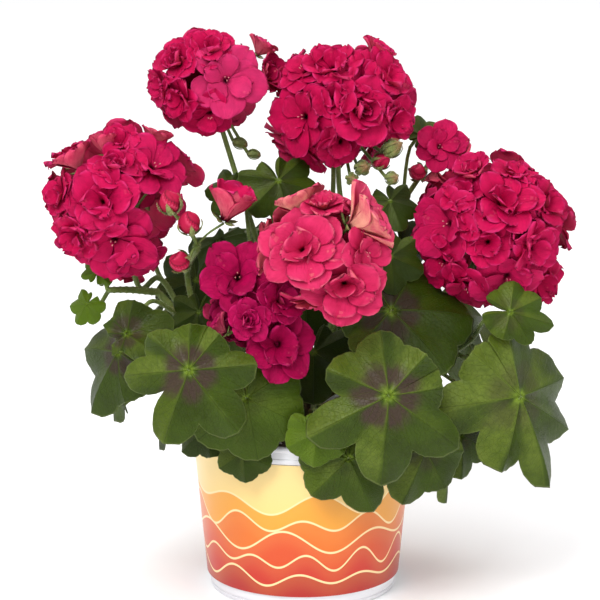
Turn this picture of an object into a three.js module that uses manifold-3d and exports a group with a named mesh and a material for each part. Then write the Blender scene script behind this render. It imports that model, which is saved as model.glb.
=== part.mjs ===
// Potted ivy geranium: a bushy plant with double flowers in a white nursery pot with a printed wrap.
// Millimetres, +Z up, +Y away from the front. The origin is the centre of the pot's foot.
import * as THREE from "three";
import { mergeVertices } from "three/addons/utils/BufferGeometryUtils.js";
import Module from "manifold-3d";

const wasm = await Module();
wasm.setup();

// Gap that a piece keeps to the piece that carries it
const SEAT_GAP = 0.3;

// Pot, its printed wrap and its drain holes
const POT_HEIGHT = 101.6;
const FOOT_RADIUS = 54.2;
const FOOT_BAND_RADIUS = 55;
const FOOT_BAND_TOP = 8.6;
const FOOT_BAND_STEP = 0.6;
const WRAP_FOOT_RADIUS = 55.6;
const WRAP_RIM_RADIUS = 65.2;
const WRAP_THICKNESS = 0.4;
const RIM_BAND_BOTTOM = 91;
const RIM_LIP = 0.8;
const POT_WALL = 1.4;
const POT_FLOOR = 2;
const POT_SIDES = 40;
const DRAIN_HOLES = 6;
const DRAIN_HOLE_RADIUS = 4;
const DRAIN_HOLE_SIDES = 10;
const DRAIN_CIRCLE_RADIUS = 36;

// Soil bed and the woody crown sunk in it
const SOIL_EDGE_HEIGHT = 88;
const SOIL_SHOULDER = [0.7, 1.8];
const SOIL_MOUND = 3;
const SOIL_SIDES = 36;
const CROWN_PROFILE = [[5, 66], [6, 88], [9, 104], [7, 113]];
const CROWN_TOP = 116;
const CROWN_SIDES = 12;

// Stems and stalks
const NODES_PER_STRETCH = 4;
const STEM_SIDES = 6;
const STALK_SIDES = 5;
const BRANCH_RADIUS = 2.8;
const SHOOT_RADIUS = 2.3;
const FLOWER_STALK_RADIUS = 1.7;
const PETIOLE_RADIUS = 1.3;
const STALKLET_RADIUS = 0.9;
const STALKLET_SIDES = 4;

// Leaf blade: lengths marked as parts are parts of the blade's size, which is the stalk's end to its tip
const BLADE_HALF_THICKNESS = 0.9;
const BLADE_SIDES = 18;
const BLADE_RINGS = 4;
const LOBES = [[-118, 0.9], [-59, 0.97], [0, 1], [59, 0.97], [118, 0.9]];
const CUTS = [0.72, 0.76, 0.76, 0.72];
const EARS = [0.6, 0.6];
const EAR_ANGLE = 160;
const EAR_CUT = 0.57;
const NOTCH_ANGLE = 177;
const NOTCH_REACH = 0.16;
const LOBE_ROUNDING = 1.75;
const PLEAT_PART = 0.13;
const DROOP_PART = 0.14;
const FOLD_PART = 0;
const PETIOLE_BEHIND = 11;
const PETIOLE_BELOW = 4.4;
const PETIOLE_ARCH = 4;
const PETIOLE_END_PART = 0.1;

// Flower head: parts of the head's radius
const FLORET_SPREAD = 1.62;
const FLORET_BUMP_PART = 0.1;
const FLORET_BUMP_WIDTH = 0.1;
const HOLLOW_PART = 0.85;
const HOLLOW_DROP_PART = 0.3;
const STALK_END_PART = 0.62;
const STALK_BELOW_PART = 1.1;
const STALK_TIP_ROOM = 2.72;
const BUD_ROOT_OUT_PART = 0.86;
const BUD_ROOT_DOWN_PART = 0.3;
const LARGE_BUD_WIDTH = 12;
const YOUNG_HEAD_FLORETS = 3;

const UP = new THREE.Vector3(0, 0, 1);
const GOLDEN_ANGLE = Math.PI * (3 - Math.sqrt(5));
const rad = THREE.MathUtils.degToRad;
const vec = (p) => new THREE.Vector3(...p);

// A closed three.js geometry as a solid whose shared vertices are merged.
function solidOf(geometry) {
  const bare = new THREE.BufferGeometry();
  bare.setAttribute("position", geometry.getAttribute("position"));
  bare.setIndex(geometry.index);
  const merged = mergeVertices(bare, 1e-4);
  const mesh = new wasm.Mesh({
    numProp: 3,
    vertProperties: merged.attributes.position.array,
    triVerts: new Uint32Array(merged.index.array),
  });
  return new wasm.Manifold(mesh);
}

// A solid as a three.js geometry with flat faces.
function geometryOf(solid) {
  const mesh = solid.getMesh();
  const geometry = new THREE.BufferGeometry();
  geometry.setAttribute("position", new THREE.BufferAttribute(mesh.vertProperties, 3));
  geometry.setIndex(new THREE.BufferAttribute(mesh.triVerts, 1));
  const flat = geometry.toNonIndexed();
  flat.computeVertexNormals();
  return flat;
}

// A stalk of one radius along a smooth curve through the points.
function stalk(points, radius, sides, steps) {
  const section = new THREE.Shape();
  for (let i = 0; i < sides; i++) {
    const angle = (2 * Math.PI * i) / sides;
    section.lineTo(radius * Math.cos(angle), radius * Math.sin(angle));
  }
  const extrudePath = new THREE.CatmullRomCurve3(points);
  return solidOf(new THREE.ExtrudeGeometry(section, { steps, bevelEnabled: false, extrudePath }));
}

// A ball of twenty facets, each split, moved out or in by a function of its direction.
function ball(centre, detail, reach) {
  const geometry = new THREE.IcosahedronGeometry(1, detail);
  const position = geometry.getAttribute("position");
  for (let i = 0; i < position.count; i++) {
    const direction = new THREE.Vector3().fromBufferAttribute(position, i).normalize();
    const point = direction.clone().multiplyScalar(reach(direction)).add(centre);
    position.setXYZ(i, point.x, point.y, point.z);
  }
  return solidOf(geometry);
}

// A body turned about the pot's axis from a closed profile of [radius, height] pairs.
function turned(profile, sides) {
  const points = profile.map(([radius, height]) => new THREE.Vector2(radius, height));
  const geometry = new THREE.LatheGeometry(points, sides);
  geometry.rotateX(Math.PI / 2);
  return solidOf(geometry);
}

// Materials
const paint = (color, roughness) => new THREE.MeshStandardMaterial({ color, roughness, metalness: 0 });
const MATERIALS = {
  pot: paint(0xe6e6ec, 0.35),
  wrap: paint(0xeda43c, 0.4),
  soil: paint(0x3a2a20, 0.95),
  stem: paint(0x6f8a3a, 0.6),
  leaf: paint(0x4c6a24, 0.45),
  petal: paint(0xc81050, 0.6),
  coral: paint(0xdc4a62, 0.6),
  magenta: paint(0xb00450, 0.6),
  bud: paint(0xa8293c, 0.6),
};

const plant = new THREE.Group();

// Every piece is one named mesh.
function piece(name, solid, material) {
  const mesh = new THREE.Mesh(geometryOf(solid), MATERIALS[material]);
  mesh.name = name;
  plant.add(mesh);
}

// Pot: a thin-walled cone with a plain foot band and rim band, and drain holes in its flat floor
function wrapRadius(height) {
  return WRAP_FOOT_RADIUS + ((WRAP_RIM_RADIUS - WRAP_FOOT_RADIUS) * height) / POT_HEIGHT;
}

const sideRadius = (height) => wrapRadius(height) - WRAP_THICKNESS - SEAT_GAP;
const innerRadius = (height) => sideRadius(height) - POT_WALL;

function flowerPot() {
  const profile = [
    [0, 0],
    [FOOT_RADIUS, 0],
    [FOOT_BAND_RADIUS, FOOT_BAND_TOP - FOOT_BAND_STEP],
    [sideRadius(FOOT_BAND_TOP), FOOT_BAND_TOP],
    [sideRadius(RIM_BAND_BOTTOM), RIM_BAND_BOTTOM],
    [wrapRadius(RIM_BAND_BOTTOM), RIM_BAND_BOTTOM],
    [wrapRadius(POT_HEIGHT) + RIM_LIP, POT_HEIGHT],
    [innerRadius(POT_HEIGHT), POT_HEIGHT],
    [innerRadius(POT_FLOOR), POT_FLOOR],
    [0, POT_FLOOR],
  ];
  let pot = turned(profile, POT_SIDES);
  const depth = 4 * POT_FLOOR;
  for (let i = 0; i < DRAIN_HOLES; i++) {
    const angle = (2 * Math.PI * i) / DRAIN_HOLES;
    const hole = new THREE.CylinderGeometry(DRAIN_HOLE_RADIUS, DRAIN_HOLE_RADIUS, depth, DRAIN_HOLE_SIDES);
    hole.rotateX(Math.PI / 2);
    hole.translate(DRAIN_CIRCLE_RADIUS * Math.cos(angle), DRAIN_CIRCLE_RADIUS * Math.sin(angle), 0);
    pot = pot.subtract(solidOf(hole));
  }
  return pot;
}

function printedWrap() {
  const bottom = FOOT_BAND_TOP + SEAT_GAP;
  const top = RIM_BAND_BOTTOM - SEAT_GAP;
  const inside = (height) => sideRadius(height) + SEAT_GAP;
  const profile = [
    [inside(bottom), bottom],
    [wrapRadius(bottom), bottom],
    [wrapRadius(top), top],
    [inside(top), top],
    [inside(bottom), bottom],
  ];
  return turned(profile, POT_SIDES);
}

// Crown: the woody foot of the plant, sunk in the soil, that every branch starts from; extra makes
// it larger all round, as the tool that cuts its seat.
function crown(extra) {
  const bottom = CROWN_PROFILE[0][1] - extra;
  const profile = CROWN_PROFILE.map(([radius, height], i) => [radius + extra, i ? height : bottom]);
  return turned([[0, bottom], ...profile, [0, CROWN_TOP + extra]], CROWN_SIDES);
}

function pottingSoil() {
  const bottom = POT_FLOOR + SEAT_GAP;
  const reach = (height) => innerRadius(height) - SEAT_GAP;
  const [shoulder, rise] = SOIL_SHOULDER;
  const profile = [
    [0, bottom],
    [reach(bottom), bottom],
    [reach(SOIL_EDGE_HEIGHT), SOIL_EDGE_HEIGHT],
    [shoulder * reach(SOIL_EDGE_HEIGHT), SOIL_EDGE_HEIGHT + rise],
    [0, SOIL_EDGE_HEIGHT + SOIL_MOUND],
  ];
  return turned(profile, SOIL_SIDES).subtract(crown(SEAT_GAP));
}

piece("flower_pot", flowerPot(), "pot");
piece("printed_wrap", printedWrap(), "wrap");
piece("potting_soil", pottingSoil(), "soil");
piece("crown", crown(0), "stem");

// Branches: six stems from the crown, each a list of points chosen by eye along its route
const BRANCHES = {
  branch_front_left: [[-3, -4, 104], [-22, -28, 122], [-46, -40, 136], [-68, -38, 152]],
  branch_front_right: [[3, -4, 104], [24, -30, 120], [50, -42, 132], [76, -36, 144], [98, -26, 156]],
  branch_left: [[-4, 1, 107], [-34, -4, 130], [-64, -8, 156], [-84, -6, 178]],
  branch_right: [[4, 1, 107], [36, 2, 130], [64, 0, 154], [86, -4, 170]],
  branch_upper_left: [[-3, 4, 111], [-12, 6, 150], [-22, 6, 190]],
  branch_upper_right: [[3, 5, 111], [16, 10, 150], [30, 8, 190]],
};
const stems = {};

// A stem of its own radius. Its nodes, where leaves and flowers leave it, and its seat, a slightly
// thicker and longer copy that cuts back what it carries, are kept by its name.
function grow(name, points, radius) {
  const route = points.map(vec);
  const steps = NODES_PER_STRETCH * (points.length - 1);
  const nodes = new THREE.CatmullRomCurve3(route).getSpacedPoints(steps);
  const tip = route.at(-1);
  const beyond = tip.clone().sub(route.at(-2)).setLength(SEAT_GAP).add(tip);
  const sleeve = stalk(route, radius + SEAT_GAP, STEM_SIDES, steps);
  const seat = sleeve.add(stalk([tip, beyond], radius + SEAT_GAP, STEM_SIDES, 1));
  stems[name] = { nodes, seat };
  return stalk(route, radius, STEM_SIDES, steps);
}

// The largest body that is left of a solid once a seat is cut out of it.
function seated(solid, seat) {
  const bodies = solid.subtract(seat).decompose();
  return bodies.reduce((largest, body) => (body.volume() > largest.volume() ? body : largest));
}

for (const [name, points] of Object.entries(BRANCHES)) {
  piece(name, grow(name, points, BRANCH_RADIUS).subtract(crown(SEAT_GAP)), "stem");
}

// The ends of the lobes and the cuts between them round the leaf, as [angle from the tip, reach, kind] where
// kind is 1 for a lobe's end and 0 for a cut. Two ears stand beside the narrow notch at the base.
function leafMarks({ lobes = LOBES, cuts = CUTS, ears = EARS }) {
  const marks = [[-NOTCH_ANGLE, NOTCH_REACH, 0], [-EAR_ANGLE, ears[0], 1]];
  marks.push([(lobes[0][0] - EAR_ANGLE) / 2, EAR_CUT, 0]);
  lobes.forEach(([angle, reach], i) => {
    marks.push([angle, reach, 1]);
    const next = lobes[i + 1]?.[0] ?? EAR_ANGLE;
    marks.push([(angle + next) / 2, cuts[i] ?? EAR_CUT, 0]);
  });
  marks.push([EAR_ANGLE, ears[1], 1], [NOTCH_ANGLE, NOTCH_REACH, 0]);
  return marks;
}

// The distance from the stalk's end to the edge at an angle from the tip, and how far that angle lies from
// the nearest lobe's vein, from 0 on the vein to 1 at the cut.
function leafOutline(leaf, angle) {
  const turn = THREE.MathUtils.clamp(THREE.MathUtils.radToDeg(angle), -NOTCH_ANGLE, NOTCH_ANGLE);
  const marks = leafMarks(leaf);
  const after = Math.max(1, marks.findIndex(([mark]) => mark >= turn));
  const [from, to] = [marks[after - 1], marks[after]];
  const share = (turn - from[0]) / (to[0] - from[0]);
  const aside = from[2] ? share : 1 - share;
  const [lobe, cut] = from[2] ? [from[1], to[1]] : [to[1], from[1]];
  return { edge: cut + (lobe - cut) * (1 - aside ** LOBE_ROUNDING), aside };
}

// The blade's own directions: face is [azimuth, elevation] of its upper side in degrees, where azimuth 0
// looks to the front and 90 to the right; turn swings the tip from straight down towards the right.
function leafDirections({ face, turn }) {
  const [azimuth, elevation] = face.map(rad);
  const ahead = new THREE.Vector3(Math.sin(azimuth), -Math.cos(azimuth), 0);
  const normal = ahead.clone().multiplyScalar(Math.cos(elevation)).addScaledVector(UP, Math.sin(elevation));
  const down = ahead.clone().multiplyScalar(Math.sin(elevation)).addScaledVector(UP, -Math.cos(elevation));
  const across = normal.clone().cross(down);
  const tip = down.clone().multiplyScalar(Math.cos(rad(turn))).addScaledVector(across, Math.sin(rad(turn)));
  return { normal, tip, side: normal.clone().cross(tip) };
}

// Height of the blade over its flat plane, in parts of its size: it droops to its edge, may fold at the
// midrib, and is pleated with a ridge along each vein.
function leafLift(reach, angle, aside, fold) {
  const pleat = PLEAT_PART * reach * Math.sin((aside * Math.PI) / 2);
  return fold * reach * Math.abs(Math.sin(angle)) - pleat - DROOP_PART * reach ** 2;
}

function leafBlade(leaf) {
  const { normal, tip, side } = leafDirections(leaf);
  const geometry = new THREE.SphereGeometry(1, BLADE_SIDES, BLADE_RINGS);
  const position = geometry.getAttribute("position");
  for (let i = 0; i < position.count; i++) {
    const [x, y, z] = [position.getX(i), position.getY(i), position.getZ(i)];
    const angle = Math.atan2(-z, x);
    const { edge, aside } = leafOutline(leaf, angle);
    const reach = Math.hypot(x, z) * edge;
    const lift = leafLift(reach, angle, aside, leaf.fold ?? FOLD_PART);
    const point = vec(leaf.at)
      .addScaledVector(tip, leaf.size * reach * Math.cos(angle))
      .addScaledVector(side, leaf.size * reach * Math.sin(angle))
      .addScaledVector(normal, leaf.size * lift + y * BLADE_HALF_THICKNESS);
    position.setXYZ(i, point.x, point.y, point.z);
  }
  return solidOf(geometry);
}

// A leaf with its stalk, which leaves a node of the stem and meets the blade from behind.
function leafOn(stem, leaf) {
  const { normal, tip } = leafDirections(leaf);
  const start = stems[stem].nodes[leaf.node];
  const junction = vec(leaf.at);
  const behind = vec(leaf.at).addScaledVector(normal, -PETIOLE_BEHIND).addScaledVector(tip, -PETIOLE_BELOW);
  const arch = start.clone().lerp(behind, 0.5).addScaledVector(UP, PETIOLE_ARCH);
  const end = junction.addScaledVector(tip, PETIOLE_END_PART * leaf.size);
  const points = [start, ...(leaf.via?.map(vec) ?? [arch]), behind, end];
  return leafBlade(leaf).add(stalk(points, PETIOLE_RADIUS, STALK_SIDES, 2 * points.length - 3));
}

// Leaves, by the branch that carries them. node counts along the branch, at is where the stalk meets the
// blade, via leads the stalk clear of other pieces, and fold is how far the halves close at the midrib.
// lobes gives each lobe's angle from the tip and its reach, cuts the reach of the cuts between them, and
// ears the reach beside the notch, all in parts of the size.
const LEAVES = {
  branch_front_left: {
    leaf_front_left: {
      node: 10, at: [-64, -92, 155.5], face: [-8, 22], turn: -17, size: 45,
      lobes: [[-112, 0.72], [-68, 0.88], [0, 0.97], [58, 1], [114, 0.86]], cuts: [0.62, 0.42, 0.68, 0.6],
    },
    leaf_front_centre: {
      node: 6, at: [-32, -76, 134.5], face: [4, 12], turn: 10, size: 37,
      lobes: [[-118, 0.8], [-59, 1], [0, 1], [52, 0.96], [112, 0.9]], cuts: [0.85, 0.86, 0.88, 0.85],
    },
    leaf_rim_left: {
      node: 4, at: [-54, -58, 112], face: [-30, 24], turn: -45, size: 22,
      lobes: [[-118, 0.5], [-59, 0.7], [0, 1.05], [59, 0.8], [118, 0.5]],
    },
    leaf_rim_front: {
      node: 3, via: [[-24, -44, 114], [-32, -61, 112]], at: [-34, -72, 101], face: [-10, 8], turn: 4,
      size: 18, cuts: [0.8, 0.86, 0.86, 0.8],
    },
  },
  branch_left: {
    leaf_far_left: {
      node: 9, at: [-106, -38, 151], face: [-50, 20], turn: -24, size: 41,
      lobes: [[-118, 0.6], [-58, 0.88], [0, 1.05], [48, 0.72], [105, 0.7]],
    },
    leaf_left_folded: {
      node: 10, via: [[-88, -28, 178]], at: [-100, -54, 166], face: [-14, 40], turn: 115, size: 28,
      fold: 0.5, lobes: [[-118, 0.45], [-59, 0.8], [0, 1], [59, 0.7], [118, 0.45]], ears: [0.4, 0.4],
    },
  },
  branch_front_right: {
    leaf_front_right: {
      node: 8, at: [48, -98, 142.5], face: [4, 14], turn: -64, size: 53,
      lobes: [[-110, 0.7], [-50, 0.72], [0, 0.97], [59, 0.97], [116, 0.95]], cuts: [0.58, 0.5, 0.62, 0.66],
    },
    leaf_right: {
      node: 14, at: [123.5, -64, 132], face: [34, 12], turn: 20, size: 58, fold: -0.25,
      lobes: [[-110, 0.82], [-34, 0.76], [0, 1.04], [38, 0.86], [74, 0.78]], cuts: [0.48, 0.66, 0.72, 0.72],
      ears: [0.6, 0.66],
    },
    leaf_right_upper: {
      node: 16, at: [117.5, -58, 180], face: [10, 25], turn: 72, size: 27,
      lobes: [[-90, 0.6], [-40, 0.8], [0, 1], [40, 0.78], [96, 0.7]], cuts: [0.55, 0.66, 0.7, 0.62],
    },
    leaf_low_right: { node: 10, at: [91, -46, 104], face: [30, 16], turn: -4, size: 26 },
    leaf_low_narrow: {
      node: 11, at: [80, -64, 100], face: [75, 10], turn: 6, size: 31,
      lobes: [[-118, 0.3], [-59, 0.42], [0, 1.05], [59, 0.42], [118, 0.3]], cuts: [0.25, 0.36, 0.36, 0.25],
      ears: [0.3, 0.3],
    },
    leaf_rim_middle: {
      node: 2, via: [[6, -42, 120], [8, -62, 120]], at: [8, -84, 116], face: [0, 8], turn: -6, size: 20,
      cuts: [0.85, 0.88, 0.88, 0.85],
    },
    leaf_over_pot: {
      node: 4, via: [[32, -48, 114], [33, -64, 112]], at: [26, -79, 100], face: [4, 6], turn: 24, size: 36,
      lobes: [[-120, 0.8], [-68, 0.86], [0, 1], [50, 0.8], [110, 0.7]], cuts: [0.75, 0.66, 0.75, 0.7],
    },
    leaf_rim_right: {
      node: 6, via: [[46, -58, 122], [60, -70, 116]], at: [69, -83, 106], face: [15, 8], turn: -22, size: 34,
      lobes: [[-115, 0.7], [-62, 0.7], [0, 1], [50, 0.8], [105, 0.7]],
    },
  },
  branch_right: {
    leaf_centre_right: {
      node: 8, at: [50, -55, 180], face: [8, 48], turn: 40, size: 50,
      lobes: [[-125, 0.6], [-84, 0.66], [0, 0.92], [52, 1], [110, 0.85]], cuts: [0.56, 0.5, 0.85, 0.8],
    },
  },
  branch_upper_left: {
    leaf_inner_front: { node: 2, at: [6, -42, 152], face: [0, 30], turn: 0, size: 30 },
    leaf_top_left: {
      node: 7, via: [[-17, -6, 206]], at: [-14, -22, 248], face: [10, 34], turn: 12, size: 26,
    },
    leaf_top_far_left: {
      node: 6, via: [[-30, -5, 206]], at: [-42, -4, 240], face: [-30, 40], turn: -20, size: 18,
    },
  },
  branch_upper_right: {
    leaf_centre: { node: 3, at: [50, -40, 208], face: [10, 25], turn: 4, size: 22 },
    leaf_centre_grey: { node: 4, via: [[36, 2, 176]], at: [57, 2, 204], face: [40, 16], turn: 4, size: 23 },
    leaf_top_right: { node: 6, via: [[36, 2, 202]], at: [50, -14, 234], face: [14, 42], turn: 14, size: 19 },
  },
};

for (const [stem, leaves] of Object.entries(LEAVES)) {
  for (const [name, leaf] of Object.entries(leaves)) {
    piece(name, seated(leafOn(stem, leaf), stems[stem].seat), "leaf");
  }
}

// Shoots: side stems of the crown or a branch, each in one piece with its leaves, as it grew
const SHOOTS = {
  shoot_left: {
    on: "branch_left",
    stem: [[-84, -6, 178], [-100, -16, 182], [-112, -24, 184]],
    leaves: [
      { node: 6, at: [-124, -26, 176], face: [-30, 30], turn: -20, size: 13 },
      { node: 8, at: [-118, -22, 194], face: [-20, 30], turn: 170, size: 12 },
    ],
  },
  shoot_inner_left: {
    on: "branch_left",
    stem: [[-44, -5, 139], [-46, -2, 150], [-50, 0, 160]],
    leaves: [
      { node: 8, at: [-62, 14, 180], face: [-12, 26], turn: -6, size: 28 },
      { node: 6, at: [-60, -21, 170], face: [-12, 25], turn: 0, size: 20 },
    ],
  },
  shoot_side_left: {
    on: "crown",
    stem: [[-4, 1, 100], [-34, 14, 118], [-62, 24, 134]],
    leaves: [
      { node: 8, at: [-106, 24, 128], face: [-86, 18], turn: 0, size: 37 },
      { node: 5, at: [-82, 12, 102], face: [-88, 12], turn: 0, size: 25 },
    ],
  },
  shoot_side_right: {
    on: "crown",
    stem: [[4, 1, 100], [36, 14, 116], [66, 24, 132]],
    leaves: [
      { node: 7, at: [106, 2, 116], face: [82, 14], turn: 0, size: 36 },
      { node: 8, at: [106, 32, 152], face: [95, 40], turn: 0, size: 27 },
      { node: 6, at: [70, 50, 258], face: [20, 30], turn: 120, size: 14 },
    ],
  },
  shoot_back_left: {
    on: "crown",
    stem: [[-3, 4, 101], [-26, 34, 124], [-50, 58, 144]],
    leaves: [
      { node: 7, at: [-94, 72, 134], face: [-130, 30], turn: 10, size: 42 },
      { node: 6, at: [-42, 90, 148], face: [-165, 24], turn: 0, size: 40 },
      { node: 4, at: [-58, 62, 106], face: [-140, 20], turn: 0, size: 30 },
    ],
  },
  shoot_back_right: {
    on: "crown",
    stem: [[3, 4, 101], [28, 34, 122], [54, 56, 142]],
    leaves: [
      { node: 7, at: [98, 66, 130], face: [125, 30], turn: -8, size: 43 },
      { node: 6, at: [48, 92, 142], face: [164, 22], turn: 0, size: 42 },
      { node: 4, at: [62, 60, 102], face: [140, 18], turn: 0, size: 28 },
    ],
  },
  shoot_back_centre: {
    on: "crown",
    stem: [[0, 5, 105], [2, 34, 138], [0, 54, 172]],
    leaves: [
      { node: 8, at: [-18, 90, 186], face: [180, 36], turn: 0, size: 33 },
      { node: 3, at: [4, 82, 106], face: [180, 16], turn: 0, size: 28 },
      { node: 6, at: [-50, 46, 196], face: [-150, 44], turn: 0, size: 30 },
      { node: 4, at: [2, 24, 172], face: [0, 20], turn: 0, size: 34 },
    ],
  },
};

for (const [name, shoot] of Object.entries(SHOOTS)) {
  const seat = shoot.on === "crown" ? crown(SEAT_GAP) : stems[shoot.on].seat;
  const stem = grow(name, shoot.stem, SHOOT_RADIUS);
  const solid = shoot.leaves.reduce((whole, leaf) => whole.add(leafOn(name, leaf)), stem);
  piece(name, seated(solid, seat), "leaf");
}

// Directions of the florets from the middle of a head, spread evenly by the golden angle from its top to
// well below its middle.
function floretDirections(count, axis) {
  const swing = new THREE.Quaternion().setFromUnitVectors(UP, axis);
  return Array.from({ length: count }, (_, i) => {
    const height = 1 - (FLORET_SPREAD * (i + 0.5)) / count;
    const width = Math.sqrt(1 - height * height);
    const angle = GOLDEN_ANGLE * i;
    return new THREE.Vector3(width * Math.cos(angle), width * Math.sin(angle), height).applyQuaternion(swing);
  });
}

// A closed or opening bud on its thin stalklet, long in the direction of the stalklet.
function bud(root, [x, y, z, length, width]) {
  const centre = new THREE.Vector3(x, y, z);
  const axis = centre.clone().sub(root).normalize();
  const detail = width > LARGE_BUD_WIDTH ? 1 : 0;
  const reach = (direction) => {
    const along = direction.dot(axis);
    const sideways = Math.sqrt(Math.max(0, 1 - along * along));
    return 0.5 / Math.hypot(along / length, sideways / width);
  };
  return ball(centre, detail, reach).add(stalk([root, centre], STALKLET_RADIUS, STALKLET_SIDES, 1));
}

// A full head is a ball that each floret raises a bump on, with a hollow underside. A young head is a
// small solid ball, and a cluster of buds hangs them from a knot at the stalk's end.
function flowerHead({ at, radius, florets, buds }, axis) {
  const centre = vec(at);
  if (!florets) {
    return buds.reduce((solid, one) => solid.add(bud(centre, one)), ball(centre, 0, () => radius));
  }
  const directions = floretDirections(florets, axis);
  const bumpy = (direction) => {
    const nearest = Math.max(...directions.map((floret) => floret.dot(direction)));
    return radius * (1 - FLORET_BUMP_PART * Math.min(1, (1 - nearest) / FLORET_BUMP_WIDTH));
  };
  let solid = ball(centre, 2, bumpy);
  if (florets > YOUNG_HEAD_FLORETS) {
    const hollow = centre.clone().addScaledVector(axis, -HOLLOW_DROP_PART * radius);
    solid = solid.subtract(ball(hollow, 1, () => HOLLOW_PART * radius));
  }
  for (const one of buds ?? []) {
    const offset = new THREE.Vector3(...one).sub(centre);
    const sideways = offset.addScaledVector(axis, -offset.dot(axis)).normalize();
    const root = centre
      .clone()
      .addScaledVector(sideways, BUD_ROOT_OUT_PART * radius)
      .addScaledVector(axis, -BUD_ROOT_DOWN_PART * radius);
    solid = solid.add(bud(root, one));
  }
  return solid;
}

// Each flower stalk leaves a node of its stem and ends in its flower head.
function flowerOn(name, flower) {
  const centre = vec(flower.at);
  const start = stems[flower.on].nodes[flower.node];
  const axis = vec(flower.axis).normalize();
  const depth = flower.florets > YOUNG_HEAD_FLORETS ? STALK_END_PART * flower.radius : 0;
  const end = centre.clone().addScaledVector(axis, depth);
  const below = centre.clone().addScaledVector(axis, -STALK_BELOW_PART * flower.radius);
  const points = [start, ...(flower.via ?? []).map(vec), below, end];
  const steps = 3 * (points.length - 1);
  const sleeve = stalk(points, FLOWER_STALK_RADIUS + SEAT_GAP, STALK_SIDES, steps);
  const seat = sleeve.add(ball(end, 0, () => STALK_TIP_ROOM));
  const solid = seated(stalk(points, FLOWER_STALK_RADIUS, STALK_SIDES, steps), stems[flower.on].seat);
  piece("flower_stalk_" + name, solid, "stem");
  piece("flower_head_" + name, seated(flowerHead(flower, axis), seat), flower.color);
}

// Flower heads. at is the head's middle, axis points to its top, and a bud is its middle, length and width.
const FLOWERS = {
  top_left: {
    on: "branch_upper_left", node: 8, at: [-55, 15, 298], axis: [-0.3, 0.1, 1], radius: 35, florets: 13,
    color: "petal", buds: [[-36, 12, 262, 9, 6], [-28, 10, 256, 8, 5]],
  },
  top_right: {
    on: "branch_upper_right", node: 8, at: [21, 10, 283], axis: [0, 0, 1], radius: 42, florets: 16,
    color: "petal", buds: [[54, -4, 254, 13, 7], [46, 0, 246, 11, 7], [32, -14, 240, 12, 7]],
  },
  right: {
    on: "branch_right", node: 10, at: [107, -10, 214], axis: [0.5, 0, 1], radius: 45, florets: 18,
    color: "petal",
  },
  left: {
    on: "branch_left", node: 9, via: [[-84, 4, 184]], at: [-104, -4, 230], axis: [-0.2, 0, 1], radius: 47,
    florets: 18, color: "petal",
  },
  front: {
    on: "branch_upper_left", node: 4, at: [13, -84, 222], axis: [0.2, -0.8, 0.7], radius: 36, florets: 13,
    color: "coral",
  },
  front_low: {
    on: "branch_front_left", node: 7, at: [-27, -50, 178], axis: [-0.1, -0.5, 1], radius: 30, florets: 9,
    color: "magenta",
  },
  young_right: {
    on: "branch_upper_right", node: 7, at: [78, 27, 254], axis: [0.7, 0.3, 1], radius: 14, florets: 3,
    color: "petal", buds: [[66, 8, 246, 12, 10]],
  },
  buds_left: {
    on: "branch_left", node: 8, via: [[-67, -5, 188]], at: [-60, -50, 218], axis: [0, -0.2, 1], radius: 3,
    florets: 0, color: "bud",
    buds: [
      [-75, -56, 244, 15, 13], [-64, -60, 233, 15, 13], [-70, -60, 210, 14, 12], [-41, -52, 242, 26, 22],
    ],
  },
  back_left: {
    on: "shoot_back_left", node: 8, at: [-95, 70, 198], axis: [-0.4, 0.4, 1], radius: 33, florets: 12,
    color: "petal",
  },
  back_right: {
    on: "shoot_back_right", node: 8, at: [100, 72, 196], axis: [0.4, 0.4, 1], radius: 34, florets: 12,
    color: "petal",
  },
  back_centre: {
    on: "shoot_back_centre", node: 7, via: [[14, 58, 184]], at: [18, 92, 256], axis: [0, 0.4, 1], radius: 36,
    florets: 14, color: "petal",
  },
};

for (const [name, flower] of Object.entries(FLOWERS)) {
  flowerOn(name, flower);
}

export default plant;
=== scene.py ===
# Potted ivy geranium: the finish of every leaf, floret, stalk and the pot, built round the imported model.
# Sizes are in millimetres, as the part's own are; meshes are turned to metres as they are made.
import math
import random
import zlib
import bmesh
import bpy
import numpy as np
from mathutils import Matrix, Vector, noise


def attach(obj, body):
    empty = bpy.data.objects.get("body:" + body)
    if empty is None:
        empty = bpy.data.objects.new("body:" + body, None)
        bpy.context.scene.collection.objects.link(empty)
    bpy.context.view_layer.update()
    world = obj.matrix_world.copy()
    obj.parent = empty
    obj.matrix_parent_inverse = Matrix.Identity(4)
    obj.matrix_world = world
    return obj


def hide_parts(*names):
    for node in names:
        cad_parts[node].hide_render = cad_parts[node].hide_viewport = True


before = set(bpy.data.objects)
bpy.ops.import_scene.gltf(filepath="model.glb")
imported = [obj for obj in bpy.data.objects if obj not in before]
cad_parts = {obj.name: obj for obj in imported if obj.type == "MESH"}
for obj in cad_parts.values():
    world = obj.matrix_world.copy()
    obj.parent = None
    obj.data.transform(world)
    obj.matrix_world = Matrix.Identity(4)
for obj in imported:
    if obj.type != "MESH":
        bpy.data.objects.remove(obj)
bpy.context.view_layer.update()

MM = 0.001
UP = np.array([0.0, 0.0, 1.0])
GOLDEN_ANGLE = math.pi * (3 - math.sqrt(5))
# In radians, near enough for an angle that is left to chance
FULL_TURN = 6.28

# Camera: how far it looks down, its distance, lens, sensor, aim and the furthest that it sees
CAMERA_ELEVATION = math.radians(15)
CAMERA_DISTANCE = 2400
CAMERA_LENS = 248
CAMERA_SENSOR = 36
CAMERA_AIM = (-1.7, 0, 171.6)
CAMERA_REACH = 20000

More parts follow.
